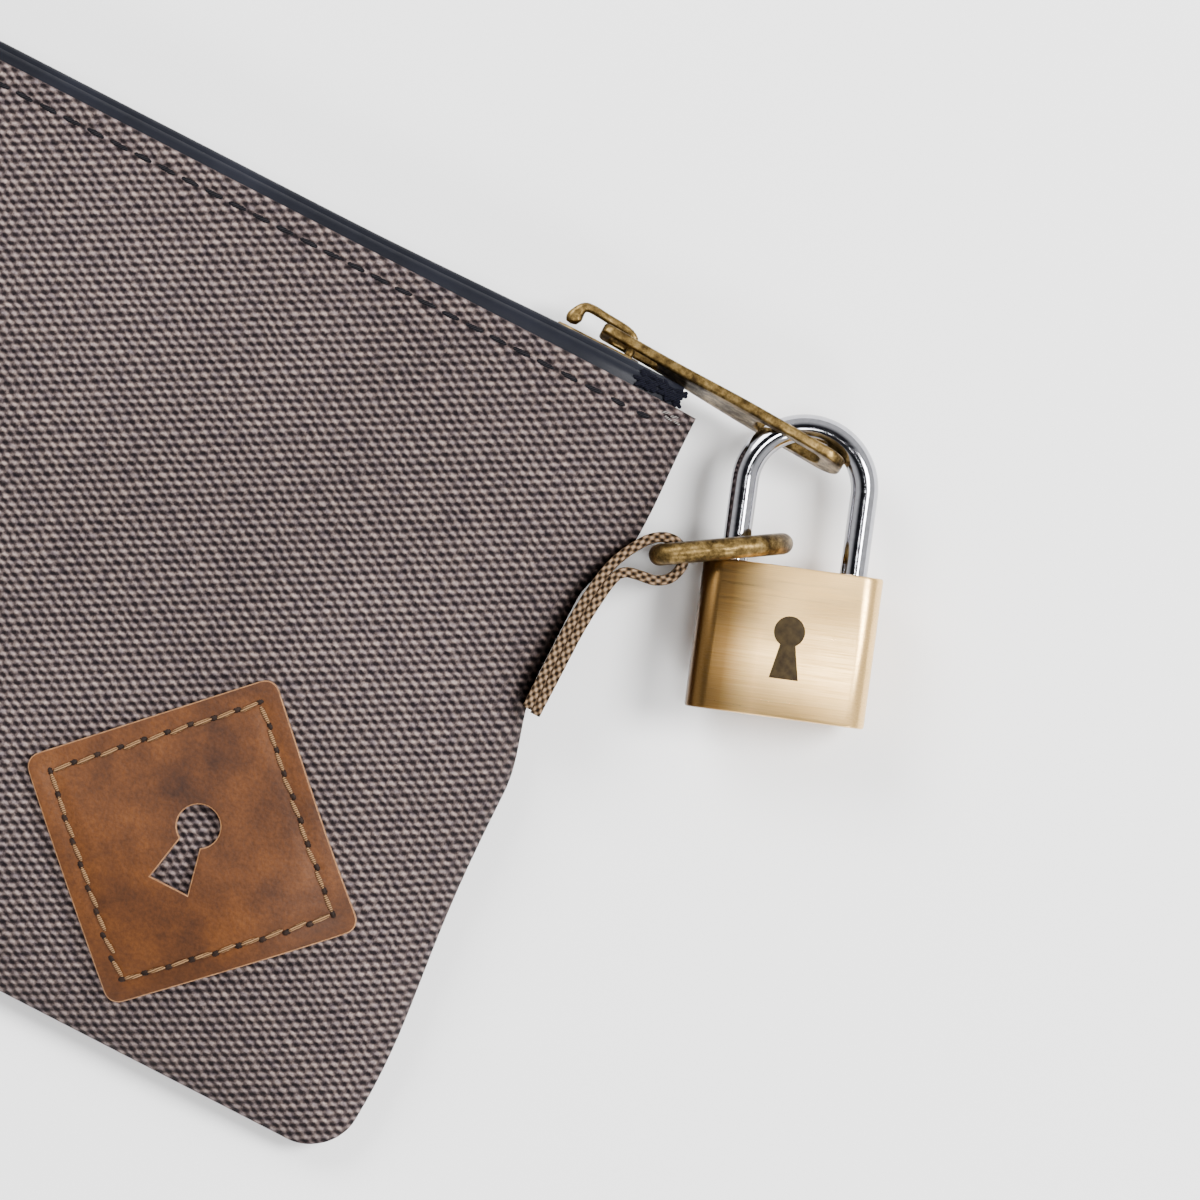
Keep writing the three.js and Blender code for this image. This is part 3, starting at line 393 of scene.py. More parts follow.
def closed_sheet(columns, rows, low_at, high_at):
    """Points and faces of a closed sheet between two surfaces over a grid."""
    wide, tall = len(columns), len(rows)
    points = [low_at(c, r) for r in rows for c in columns]
    points += [high_at(c, r) for r in rows for c in columns]
    step = wide * tall
    faces = []
    for r in range(tall - 1):
        for c in range(wide - 1):
            a = r * wide + c
            faces.append((a, a + wide, a + wide + 1, a + 1))
            faces.append((step + a, step + a + 1, step + a + wide + 1, step + a + wide))
    rim = list(range(wide))
    rim += [r * wide + wide - 1 for r in range(1, tall)]
    rim += [(tall - 1) * wide + c for c in range(wide - 2, -1, -1)]
    rim += [r * wide for r in range(tall - 2, 0, -1)]
    for here, after in zip(rim, rim[1:] + rim[:1]):
        faces.append((here, after, step + after, step + here))
    return points, faces


def sweep(path, normal, section, closed=False, scales=None):
    """Carries a convex section, given as (across, up) pairs, along a path in one plane."""
    count, sides = len(path), len(section)
    points = []
    for i, point in enumerate(path):
        before = path[i - 1] if closed or i else path[0]
        after = path[(i + 1) % count] if closed or i + 1 < count else path[-1]
        side = (after - before).normalized().cross(normal).normalized()
        size = scales[i] if scales else (1, 1)
        points += [point + side * (a * size[0]) + normal * (b * size[1]) for a, b in section]
    faces = []
    for i in range(count if closed else count - 1):
        here, after = i * sides, (i + 1) % count * sides
        for s in range(sides):
            t = (s + 1) % sides
            faces.append((here + s, here + t, after + t, after + s))
    if not closed:
        faces.append(tuple(reversed(range(sides))))
        faces.append(tuple(range((count - 1) * sides, count * sides)))
    return points, faces


def circle(radius, sides):
    angles = [2 * math.pi * i / sides for i in range(sides)]
    return [(radius * math.cos(a), radius * math.sin(a)) for a in angles]


def rounded_rectangle(half_a, half_b, radius, steps):
    corners = [(half_a, half_b, 0), (-half_a, half_b, 90), (-half_a, -half_b, 180),
               (half_a, -half_b, 270)]
    points = []
    for a, b, start in corners:
        centre_a = a - math.copysign(radius, a)
        centre_b = b - math.copysign(radius, b)
        for i in range(steps + 1):
            angle = math.radians(start + 90 * i / steps)
            points.append((centre_a + radius * math.cos(angle), centre_b + radius * math.sin(angle)))
    return points


def arc(centre, radius, start, end, steps):
    angles = [math.radians(start + (end - start) * i / steps) for i in range(steps + 1)]
    return [centre + Vector((radius * math.cos(a), radius * math.sin(a), 0)) for a in angles]


def smooth_path(points, steps):
    """A Catmull-Rom curve through the points."""
    padded = [points[0] * 2 - points[1], *points, points[-1] * 2 - points[-2]]
    path = []
    for p, q, r, s in zip(padded, padded[1:], padded[2:], padded[3:]):
        for i in range(steps):
            t = i / steps
            path.append(0.5 * (2 * q + (r - p) * t + (2 * p - 5 * q + 4 * r - s) * t ** 2
                               + (3 * q - p - 3 * r + s) * t ** 3))
    return [*path, points[-1]]


def plate(name, outlines, thickness, bevel, material, matrix=None, segments=3):
    """A flat plate in XY from outlines, the first its edge and the rest its holes."""
    curve = bpy.data.curves.new(name, "CURVE")
    curve.dimensions = "2D"
    curve.fill_mode = "BOTH"
    curve.extrude = thickness / 2 - bevel
    curve.bevel_depth = bevel
    curve.bevel_resolution = segments
    curve.offset = -bevel
    for outline in outlines:
        spline = curve.splines.new("POLY")
        spline.points.add(len(outline) - 1)
        for point, (x, y) in zip(spline.points, outline):
            point.co = (x, y, 0, 1)
        spline.use_cyclic_u = True
    source = linked(name + "_curve", curve)
    graph = bpy.context.evaluated_depsgraph_get()
    mesh = bpy.data.meshes.new_from_object(source.evaluated_get(graph))
    bpy.data.objects.remove(source)
    with edited(mesh) as work:
        bmesh.ops.remove_doubles(work, verts=work.verts, dist=0.002 * MM)
        bmesh.ops.recalc_face_normals(work, faces=work.faces)
    obj = finished_mesh(name, mesh, material)
    if matrix is not None:
        obj.matrix_world = matrix
    return sharp_by_angle(obj, 40)


def box_mesh(low, high):
    spans = list(zip(low, high))
    points = [Vector((x, y, z)) for x in spans[0] for y in spans[1] for z in spans[2]]
    faces = [(0, 1, 3, 2), (4, 6, 7, 5), (0, 4, 5, 1), (2, 3, 7, 6), (0, 2, 6, 4), (1, 5, 7, 3)]
    return points, faces


def cut(obj, tools):
    for tool in tools:
        modifier = obj.modifiers.new("cut", "BOOLEAN")
        modifier.operation = "DIFFERENCE"
        modifier.solver = "EXACT"
        modifier.object = tool
        apply_modifiers(obj)
        bpy.data.objects.remove(tool)
    return obj


def stitches(name, places, length, radius, material, body, slot):
    """One mesh of separate stitches, each a plump grain at a place with its direction."""
    rings, sides = 7, 8
    points, faces = [], []
    for centre, direction, normal in places:
        side = direction.cross(normal).normalized()
        start = len(points)
        for ring in range(rings):
            angle = math.pi * (ring + 0.35) / (rings - 1 + 0.7)
            along = -math.cos(angle) * length / 2
            girth = radius * math.sin(angle) ** 0.6
            for s in range(sides):
                turn = 2 * math.pi * s / sides + ring * 0.5
                reach = girth * (1 + 0.18 * math.cos(2 * turn))
                offset = side * (math.cos(turn) * reach) + normal * (math.sin(turn) * reach)
                points.append(centre + direction * along + offset)
        for ring in range(rings - 1):
            for s in range(sides):
                a = start + ring * sides + s
                b = start + ring * sides + (s + 1) % sides
                faces.append((a, b, b + sides, a + sides))
        faces.append(tuple(start + s for s in reversed(range(sides))))
        faces.append(tuple(start + (rings - 1) * sides + s for s in range(sides)))
    return place(mesh_object(name, points, faces, material), body, slot)


# ---------------------------------------------------------------- pouch
def swell(distance, reach):
    share = min(max(distance / reach, 0), 1)
    return (1 - (1 - share) ** 2) ** 0.65


def smoothstep(value, low, high):
    share = min(max((value - low) / (high - low), 0), 1)
    return share * share * (3 - 2 * share)


def half_width(y):
    below = max(CORNER - (y + HALF_HEIGHT), 0)
    return HALF_LENGTH - CORNER + math.sqrt(max(CORNER ** 2 - below ** 2, 0))


def seam_height(y):
    return SEAM_LOW + (MID - SEAM_LOW) * smoothstep(y, 0, TOP)


def fullness(x, y, bottom, side):
    return swell(half_width(y) - abs(x), side) * swell(y + HALF_HEIGHT, bottom)


def dents(x, y):
    """Slow hollows and ridges where the cloth has been handled."""
    u, v = x / MM, y / MM
    slow = 0.55 * math.sin(0.031 * u + 0.045 * v + 0.6) * math.sin(0.052 * v - 0.017 * u)
    fold = 0.34 * math.sin(0.085 * u - 0.062 * v + 1.9) * math.sin(0.04 * u + 0.3)
    pucker = 0.22 * math.sin(0.42 * v + 0.8 * math.sin(0.07 * v))
    pucker *= math.exp(-(HALF_LENGTH - abs(x)) / (7 * MM))
    return (slow + fold + pucker) * MM


def front_inner(x, y):
    crown = math.sin(math.pi * (y + HALF_HEIGHT) / (2 * HALF_HEIGHT))
    depth = TOP_DEPTH + (CROWN_DEPTH - TOP_DEPTH) * crown - CANVAS
    seam = seam_height(y) + SEAM_GAP / 2
    side = SIDE_SWELL + (TOP_END_SWELL - SIDE_SWELL) * smoothstep(y, TOP - 40 * MM, TOP)
    return seam + (depth - seam) * fullness(x, y, BOTTOM_SWELL, side)


def back_inner(x, y):
    seam = seam_height(y) - SEAM_GAP / 2
    return seam + (CANVAS - seam) * fullness(x, y, BACK_SWELL, BACK_SWELL)


def edge_distance(x, y):
    return min(half_width(y) - abs(x), y + HALF_HEIGHT, TOP - y)


def edge_round(x, y):
    share = min(max(edge_distance(x, y) / CANVAS, 0), 1)
    return 0.12 + 0.88 * math.sqrt(1 - (1 - share) ** 2)


def hem_ridge(y):
    """The folded hem stands up beside its row of stitches."""
    below = (TOP - y) / MM
    ridge = 0.28 * math.exp(-((below - 1.9) / 1.5) ** 2)
    furrow = 0.42 * math.exp(-((below - HEM_DROP / MM) / 0.7) ** 2)
    return (ridge - furrow) * MM


def calm_dents(x, y):
    """The dents, fading out towards the seams."""
    return dents(x, y) * min(edge_distance(x, y) / CALM_EDGE, 1)


def front_outer(x, y):
    roundness = edge_round(x, y)
    return front_inner(x, y) + CANVAS * roundness + calm_dents(x, y) + hem_ridge(y) * roundness


def front_normal(x, y):
    step = 0.4 * MM
    slope_x = (front_outer(x + step, y) - front_outer(x - step, y)) / (2 * step)
    slope_y = (front_outer(x, y + step) - front_outer(x, y - step)) / (2 * step)
    return Vector((-slope_x, -slope_y, 1)).normalized()


def side_bulge(y):
    """How the side seam wanders from a straight line."""
    v = (TOP - y) / MM
    held_in = smoothstep(v, 22, 36) * (1 - smoothstep(v, 50, 70))
    wave = 0.5 * math.exp(-((v - 18) / 9) ** 2) - 3.9 * held_in
    return (wave + 3.2 * math.exp(-((v - 122) / 26) ** 2)) * MM


def shaped(x, y, z):
    """Moves a point of the plain pouch to where the wandering seams put it."""
    reach = max(x / half_width(y), -1) if half_width(y) else 0
    outward = side_bulge(y) * abs(reach) ** 5
    return Vector((x + (outward if x > 0 else -outward), y, z))


def pouch_grid():
    columns = [math.sin(math.pi / 2 * (i / 80 - 1)) for i in range(161)]
    corner_rows = [-HALF_HEIGHT + CORNER * (1 - math.cos(math.pi / 2 * i / 20)) for i in range(21)]
    start = corner_rows[-1]
    rows = corner_rows + [start + (TOP - start) * i / 96 for i in range(1, 90)]
    near_top = rows[-1]
    rows += [near_top + (TOP - near_top) * math.sin(math.pi / 2 * i / 16) for i in range(1, 17)]
    return columns, rows


def panel(name, low_of, high_of):
    columns, rows = pouch_grid()

    def on(surface):
        return lambda c, y: shaped(c * half_width(y), y, surface(c * half_width(y), y))

    points, faces = closed_sheet(columns, rows, on(low_of), on(high_of))
    return mesh_object(name, points, faces, CANVAS_LOOK)


def build_pouch():
    front = panel("canvas_front", front_inner, front_outer)
    place(front, "bag", "canvas", "front_panel")
    back = panel("canvas_back", lambda x, y: back_inner(x, y) - CANVAS * edge_round(x, y), back_inner)
    place(back, "bag", "canvas", "back_panel")


def on_front(x, y, lift=0.0):
    return shaped(x, y, front_outer(x, y) + lift)


def build_hem_stitches():
    random.seed(11)
    places = []
    x = -HALF_LENGTH + 5 * MM
    while x < HALF_LENGTH - 5 * MM:
        y = TOP - HEM_DROP
        direction = Vector((1, random.uniform(-0.07, 0.07), 0)).normalized()
        places.append((on_front(x, y, 0.06 * MM), direction, front_normal(x, y)))
        x += HEM_PITCH
    stitches("hem_stitches", places, 3.2 * MM, 0.42 * MM, TAUPE_THREAD, "bag", "canvas")
    tack = []
    for i in range(4):
        x = HALF_LENGTH - (5.2 - 0.8 * i) * MM
        y = TOP - (1.6 + 0.55 * (i % 2)) * MM
        lean = Vector((1, 0.35 - 0.5 * (i % 2), 0)).normalized()
        tack.append((on_front(x, y, 0.1 * MM), lean, front_normal(x, y)))
    stitches("corner_tack", tack, 1.9 * MM, 0.2 * MM, PALE_THREAD, "bag", "canvas")


# ---------------------------------------------------------------- patch
PATCH_LOW, PATCH_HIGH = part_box("leather_patch")
PATCH_CENTRE = Vector(((PATCH_LOW.x + PATCH_HIGH.x) / 2, (PATCH_LOW.y + PATCH_HIGH.y) / 2, 0))
PATCH_HALF = 21.7 * MM
PATCH_CORNER = 2.4 * MM
PATCH_THICKNESS = 2 * MM
PATCH_STITCH_INSET = 3.5 * MM
PATCH_STITCHES = 9
PATCH_GAP = 0.3 * MM
PATCH_GRID = 1.2 * MM


def keyhole(scale):
    angles = [math.radians(a) for a in range(-60, 241, 10)]
    eye = [(3.6 * math.cos(a), 3 + 3.6 * math.sin(a)) for a in angles]
    return [(x * scale, y * scale) for x, y in [*eye, (-3.4, -8), (3.4, -8)]]


def turned(point, degrees):
    angle = math.radians(degrees)
    x, y = point
    return (x * math.cos(angle) - y * math.sin(angle), x * math.sin(angle) + y * math.cos(angle))


def finely(outline, step):
    result = []
    for (x0, y0), (x1, y1) in zip(outline, outline[1:] + outline[:1]):
        pieces = max(int(math.hypot(x1 - x0, y1 - y0) / step), 1)
        for i in range(pieces):
            result.append((x0 + (x1 - x0) * i / pieces, y0 + (y1 - y0) * i / pieces))
    return result


def patch_bed(x, y):
    """The height of the patch's underside over the canvas."""
    wave = calm_dents(x, y)
    return front_inner(x, y) + CANVAS + PATCH_GAP + max(wave, wave * 0.6)


def build_patch():
    outline = finely(rounded_rectangle(PATCH_HALF, PATCH_HALF, PATCH_CORNER, 6), 1.5 * MM)
    edge = [turned(p, 45) for p in outline]
    hole = finely(keyhole(MM), 1.2 * MM)
    patch = plate("leather_patch_piece", [edge, hole], PATCH_THICKNESS, 0.3 * MM, LEATHER)
    with edited(patch.data) as work:
        for axis in (Vector((1, 0, 0)), Vector((0, 1, 0))):
            for i in range(-26, 27):
                geometry = list(work.verts) + list(work.edges) + list(work.faces)
                bmesh.ops.bisect_plane(work, geom=geometry, plane_co=axis * i * PATCH_GRID, plane_no=axis)
        for vertex in work.verts:
            x = vertex.co.x + PATCH_CENTRE.x
            y = vertex.co.y + PATCH_CENTRE.y
            upper = vertex.co.z + PATCH_THICKNESS / 2
            dip = stitch_dip(vertex.co.x, vertex.co.y) if upper > PATCH_THICKNESS * 0.7 else 0
            vertex.co = shaped(x, y, patch_bed(x, y) + upper - dip)
        for face in work.faces:
            if abs(face.normal.z) < 0.93:
                face.material_index = 1
    patch.data.materials.append(LEATHER_EDGE)
    place(patch, "bag", "leather", "leather_patch")
    build_patch_stitches()


def build_patch_stitches():
    random.seed(5)
    places, holes = [], []
    inner = PATCH_HALF - PATCH_STITCH_INSET
    pitch = 2 * inner / PATCH_STITCHES
    for side in range(4):
        for i in range(PATCH_STITCHES):
            along = -inner + pitch * (i + 0.5)
            local = turned((along, inner), 90 * side + 45)
            lean = turned((1, random.uniform(0.02, 0.16)), 90 * side + 45)
            x, y = local[0] + PATCH_CENTRE.x, local[1] + PATCH_CENTRE.y
            top = patch_bed(x, y) + PATCH_THICKNESS
            normal = front_normal(x, y)
            direction = Vector((*lean, 0)).normalized()
            direction = (direction - normal * direction.dot(normal)).normalized()
            places.append((shaped(x, y, top - 0.1 * MM), direction, normal))
            # A dark grain at the end of each stitch is painted shade in its needle hole.
            end = shaped(x, y, top - 0.42 * MM) + direction * (pitch / 2)
            holes.append((end, direction, normal))
    stitches("patch_stitches", places, pitch * 0.80, 0.34 * MM, CREAM_THREAD, "bag", "leather")
    stitches("patch_hole_shade", holes, 1.5 * MM, 0.52 * MM, NEEDLE_HOLE_SHADE, "bag", "leather")


def stitch_dip(x, y):
    """How far the row of stitches pulls the leather in."""
    a, b = turned((x, y), -45)
    inner = PATCH_HALF - PATCH_STITCH_INSET
    beside = abs(abs(a) - inner) + max(abs(b) - inner, 0)
    above = abs(abs(b) - inner) + max(abs(a) - inner, 0)
    line = min(beside, above)
    return 0.28 * MM * math.exp(-(line / (0.9 * MM)) ** 2)


# ---------------------------------------------------------------- zip
TAPE_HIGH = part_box("front_zip_tape")[1]
CHAIN_LOW, CHAIN_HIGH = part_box("front_zip_chain")
TAPE_TOP = TAPE_HIGH.y
TAPE_END = TAPE_HIGH.x
CHAIN_END = CHAIN_HIGH.x
TAPE = 0.8 * MM
CLOSED = 0.15 * MM
PARTED = 1.15 * MM
PART_END = CHAIN_END - 4.9 * MM
PART_START = PART_END - 4.6 * MM


def near_edge(x):
    """How far each half of the zip stands from the middle, parted past the slider."""
    share = min(max((x - PART_START) / (PART_END - PART_START), 0), 1)
    return CLOSED + (PARTED - CLOSED) * share


def build_tape(side):
    """Tape that stands up inside the canvas and folds over towards the chain."""
    count = 120
    columns = [TAPE_END * math.sin(math.pi / 2 * (i / count * 2 - 1)) for i in range(count + 1)]

    def profile(x):
        """The tape's outer face at x, as pairs of a Y and a distance from the middle."""
        opening = (front_inner(x, TOP) - MID) if side > 0 else (MID - back_inner(x, TOP))
        far = opening - 0.35 * MM
        rise = TAPE_TOP + (0.7 + 0.85 * smoothstep(x, 40 * MM, 92 * MM)) * MM
        skirt = TOP - 8.6 * MM
        bend = 2.2 * MM
        line = [(skirt, far), (TOP - 3 * MM, far), (rise - bend, far - 0.1 * MM)]
        for i in range(1, 6):
            angle = math.pi / 2 * i / 5
            turn = (bend * math.sin(angle), bend * (1 - math.cos(angle)))
            line.append((rise - bend + turn[0], far - 0.1 * MM - turn[1]))
        near = near_edge(x)
        last = line[-1][1]
        for i in range(1, 5):
            fall = (rise - TAPE_TOP) * smoothstep(i / 4, 0, 1)
            line.append((rise - fall, last + (near - last) * i / 4))
        return line

    steps = len(profile(0))

    def point(x, step, inward):
        line = profile(x)
        y, distance = line[step]
        before = line[max(step - 1, 0)]
        after = line[min(step + 1, steps - 1)]
        along = Vector((after[0] - before[0], after[1] - before[1])).normalized()
        y -= along.y * inward
        distance -= along.x * inward
        return Vector((x, y, MID + side * max(distance, 0.12 * MM)))

    def inner(x, step):
        return point(x, step, TAPE)

    def outer(x, step):
        return point(x, step, 0)

    points, faces = closed_sheet(columns, range(steps), inner, outer)
    name = "front" if side > 0 else "back"
    place(mesh_object(name + "_tape", points, faces, TAPE_LOOK), "bag", "zip_tape", name + "_zip_tape")


def build_chain(side):
    """Coil teeth: one rounded hoop of monofilament to a pitch."""
    pitch = 1.45 * MM
    section = circle(0.36 * MM, 8)
    points, faces = [], []
    x = -CHAIN_END + pitch
    y0 = CHAIN_LOW.y + 0.45 * MM
    y1 = CHAIN_HIGH.y - 0.40 * MM
    offset = pitch / 2 if side > 0 else 0
    while x < CHAIN_END - pitch / 2:
        near = near_edge(x) + 0.1 * MM
        far = near_edge(x) + 2.7 * MM
        centre_z = (near + far) / 2
        half = (far - near) / 2 - 0.2 * MM
        loop = []
        for i in range(14):
            angle = 2 * math.pi * i / 14
            y = (y0 + y1) / 2 + (y1 - y0) / 2 * math.sin(angle)
            loop.append(Vector((x + offset, y, MID + side * (centre_z + half * math.cos(angle)))))
        hoop, sides = sweep(loop, Vector((1, 0, 0)), section, closed=True)
        start = len(points)
        points += hoop
        faces += [tuple(start + i for i in face) for face in sides]
        x += pitch
    name = "front" if side > 0 else "back"
    place(mesh_object(name + "_coil", points, faces, COIL), "bag", "zip_chain", name + "_zip_chain")


def build_tape_tack():
    random.seed(3)
    places = []
    for i in range(70):
        x = HALF_LENGTH - random.uniform(3.6, 12) * MM
        y = TOP + random.uniform(0.5, 3.0) * MM
        z = front_inner(x, TOP) - random.uniform(0.0, 0.5) * MM - max(y - TOP - 1.6 * MM, 0) * 1.1
        lean = Vector((random.uniform(0.4, 1), random.uniform(-0.8, 0.5), random.uniform(-0.3, 0.2)))
        places.append((Vector((x, y, z)), lean.normalized(), UP))
    stitches("zip_end_tack", places, 1.7 * MM, 0.36 * MM, NAVY_THREAD, "bag", "zip_tape")


# ---------------------------------------------------------------- slider
SLIDER_LOW, SLIDER_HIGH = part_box("slider_body")
BRIDGE_LOW, BRIDGE_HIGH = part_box("slider_bridge")
PLATE_TOP = SLIDER_HIGH.y
PLATE_THICKNESS = 0.9 * MM


def build_slider():
    half = (SLIDER_HIGH.z - SLIDER_LOW.z) / 2
    length = SLIDER_HIGH.x - SLIDER_LOW.x
    left = [(-length / 2, half * 0.5), (-length / 2 + 1.6 * MM, half * 0.74)]
    nose = [(length * 0.25, half), (length * 0.40, half * 0.93), (length / 2, half * 0.55)]
    upper = [*left, *nose]
    outline = upper + [(x, -z) for x, z in reversed(upper)]
    middle = (SLIDER_LOW.x + SLIDER_HIGH.x) / 2
    stand = Matrix.Rotation(math.radians(90), 4, "X")
    top = Matrix.Translation((middle, PLATE_TOP - PLATE_THICKNESS / 2, MID)) @ stand
    plate_piece = plate("slider_top", [finely(outline, 1.2 * MM)], PLATE_THICKNESS, 0.3 * MM, ANTIQUE, top)
    place(plate_piece, "slider", "antique_brass", "slider_body")
    lower_outline = [(x * 0.9, z * 0.52) for x, z in outline]
    low = Matrix.Translation((middle, SLIDER_LOW.y + PLATE_THICKNESS / 2, MID)) @ stand
    lower = plate("slider_bottom", [lower_outline], PLATE_THICKNESS, 0.25 * MM, ANTIQUE, low)
    place(lower, "slider", "antique_brass")
    neck_low = (SLIDER_HIGH.x - 3 * MM, SLIDER_LOW.y + 0.4 * MM, MID - 0.85 * MM)
    neck_high = (SLIDER_HIGH.x - 0.3 * MM, PLATE_TOP - 0.4 * MM, MID + 0.85 * MM)
    place(rounded_box("slider_neck", neck_low, neck_high), "slider", "antique_brass")
    for side in (1, -1):
        near = MID + side * 4.3 * MM
        far = MID + side * 5.0 * MM
        flange_low = (SLIDER_LOW.x + 6.8 * MM, CHAIN_LOW.y + 0.2 * MM, min(near, far))
        flange_high = (SLIDER_HIGH.x - 2.2 * MM, PLATE_TOP - 0.3 * MM, max(near, far))
        name = "slider_flange_front" if side > 0 else "slider_flange_back"
        place(rounded_box(name, flange_low, flange_high), "slider", "antique_brass")


def rounded_box(name, low, high):
    points, faces = box_mesh(low, high)
    obj = mesh_object(name, points, faces, ANTIQUE)
    modifier = obj.modifiers.new("round", "BEVEL")
    modifier.width = 0.25 * MM
    modifier.segments = 3
    return apply_modifiers(obj)


def build_bridge():
    left, right = BRIDGE_LOW.x + 0.8 * MM, BRIDGE_HIGH.x - 0.7 * MM
    foot, top = PLATE_TOP - 0.1 * MM, BRIDGE_HIGH.y - 0.65 * MM
    path = smooth_path([
        Vector((left + 0.4 * MM, foot + 0.75 * MM, MID)),
        Vector((left + 0.1 * MM, (foot + top) / 2, MID)),
        Vector((left + 1.2 * MM, top, MID)),
        Vector(((left + right) / 2, top - 0.1 * MM, MID)),
        Vector((right - 1.6 * MM, top - 0.5 * MM, MID)),
        Vector((right, top - 1.7 * MM, MID)),
        Vector((right + 0.1 * MM, foot, MID)),
    ], 8)
    last = len(path) - 1
    scales = []
    for i in range(len(path)):
        share = i / last
        knob = 1 + 0.85 * math.exp(-((share - 0.13) / 0.13) ** 2)
        tip = min(1, 0.5 + share * 9)
        width = 1 + 0.12 * math.exp(-((share - 0.12) / 0.12) ** 2)
        scales.append((knob * tip, width * tip))
    section = rounded_rectangle(0.74 * MM, 1.55 * MM, 0.55 * MM, 6)
    points, faces = sweep(path, UP, section, scales=scales)
    hook = sharp_by_angle(mesh_object("bridge_hook", points, faces, ANTIQUE), 50)
    place(hook, "slider", "antique_brass", "slider_bridge")


# ---------------------------------------------------------------- puller
PULLER_TILT = -2.8
PULLER_ROLL = -12
PULLER_LENGTH = 46 * MM
PULLER_THICKNESS = 1.8 * MM
PULLER_HINGE = Vector((88.2 * MM, 74.99 * MM, MID))


def slot_outline(start, end, half):
    middle = (start + end) / 2
    radius = min(half, 1.6 * MM)
    return [(middle + a, b) for a, b in rounded_rectangle((end - start) / 2, half, radius, 5)]


def build_puller():
    neck, paddle, bar = 3.2 * MM, 5.3 * MM, 1.7 * MM
    end = PULLER_LENGTH - bar / 2
    start = -bar / 2
    upper = [(start, neck - 1.0 * MM), (start + 0.3 * MM, neck - 0.35 * MM), (start + 1.0 * MM, neck)]
    for i in range(1, 17):
        t = i / 16
        x = start + 1.0 * MM + (end * 0.66 - start - 1.0 * MM) * t
        upper.append((x, neck + (paddle - neck) * smoothstep(t, 0.25, 1.0)))
    corner = 3.6 * MM
    for i in range(9):
        angle = math.radians(90 - 90 * i / 8)
        x = end - corner + corner * math.cos(angle)
        upper.append((x, paddle - corner + corner * math.sin(angle)))
    outline = upper + [(x, -y) for x, y in reversed(upper)]
    hole_end = end - 2 * bar - 0.5 * MM
    holes = [slot_outline(bar / 2, 10.2 * MM, 2.1 * MM),
             slot_outline(hole_end - 12.2 * MM, hole_end, 2.75 * MM)]
    tilt = Matrix.Rotation(math.radians(PULLER_TILT), 4, "Z")
    roll = Matrix.Rotation(math.radians(PULLER_ROLL), 4, "X")
    stand = Matrix.Rotation(math.radians(90), 4, "X")
    matrix = Matrix.Translation(PULLER_HINGE) @ (tilt @ roll) @ stand
    puller = plate("zip_puller", [outline, *holes], PULLER_THICKNESS, 0.5 * MM, ANTIQUE, matrix, 4)
    place(puller, "puller", "antique_brass", "puller")


# ---------------------------------------------------------------- ring and loop
RING_WIRE = 3.6 * MM
RING_LENGTH = 24.1 * MM
RING_TURN = 32.3
RING_AXIS = Vector((math.cos(math.radians(RING_TURN)), math.sin(math.radians(RING_TURN)), 0))
RING_ACROSS = Vector((-RING_AXIS.y, RING_AXIS.x, 0))
RING_REACH = 5.2 * MM
RING_DROP = 23.2 * MM
RING_SHIFT = 0.4 * MM
RING_BAR = Vector((HALF_LENGTH + RING_REACH, TOP - RING_DROP, MID)) + RING_ACROSS * RING_SHIFT


def build_ring():
    ring_low, ring_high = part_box("d_ring")
    half = (ring_high.z - ring_low.z - RING_WIRE) / 2
    corner = 2.2 * MM
    long = RING_LENGTH - RING_WIRE
    flat = [*arc(Vector((corner, -half + corner, 0)), corner, 270, 180, 8),
            *arc(Vector((corner, half - corner, 0)), corner, 180, 90, 8),
            *arc(Vector((long - half, 0, 0)), half, 90, -90, 36)]
    dense = []
    for here, after in zip(flat, flat[1:] + flat[:1]):
        pieces = max(int((after - here).length / (1.5 * MM)), 1)
        dense += [here.lerp(after, i / pieces) for i in range(pieces)]
    path = [RING_BAR + RING_AXIS * p.x + UP * p.y for p in dense]
    points, faces = sweep(path, RING_ACROSS, circle(RING_WIRE / 2, 28), closed=True)
    place(mesh_object("ring", points, faces, ANTIQUE), "d_ring", "antique_brass", "d_ring")


WEBBING = 1.72 * MM
WEBBING_WIDTH = 12.6 * MM
# The webbing's centre line, measured from the ring's bar, in mm.
LOOP_LINE = [(-7.95, -32.7), (-7.97, -25.1), (-7.93, -18.5), (-7.7, -14.0), (-7.2, -9.5), (-6.45, -5.6),
             (-5.0, -2.0), (-2.6, 1.6), (0.2, 3.15), (2.8, 2.6), (4.1, 0.4), (3.5, -2.4), (1.4, -4.1),
             (-1.4, -4.6), (-3.5, -5.1), (-4.8, -6.4), (-5.48, -9.4), (-5.98, -14.1), (-6.23, -18.6),
             (-6.25, -25.1), (-6.3, -33.1)]


def build_side_loop():
    path = smooth_path([RING_BAR + Vector((x * MM, y * MM, 0)) for x, y in LOOP_LINE], 6)
    section = rounded_rectangle(WEBBING / 2, WEBBING_WIDTH / 2, 0.55 * MM, 4)
    points, faces = sweep(path, UP, section)
    loop = mesh_object("webbing_loop", points, faces, WEBBING_LOOK)
    along = [0.0]
    for here, after in zip(path, path[1:]):
        along.append(along[-1] + (after - here).length)
    sides = len(section)
    around = [0.0]
    for here, after in zip(section, section[1:]):
        around.append(around[-1] + math.dist(here, after))
    layer = loop.data.uv_layers.new(name="run")
    for corner in loop.data.loops:
        row, column = divmod(corner.vertex_index, sides)
        layer.data[corner.index].uv = (along[row], around[column])
    place(loop, "bag", "webbing", "side_loop")


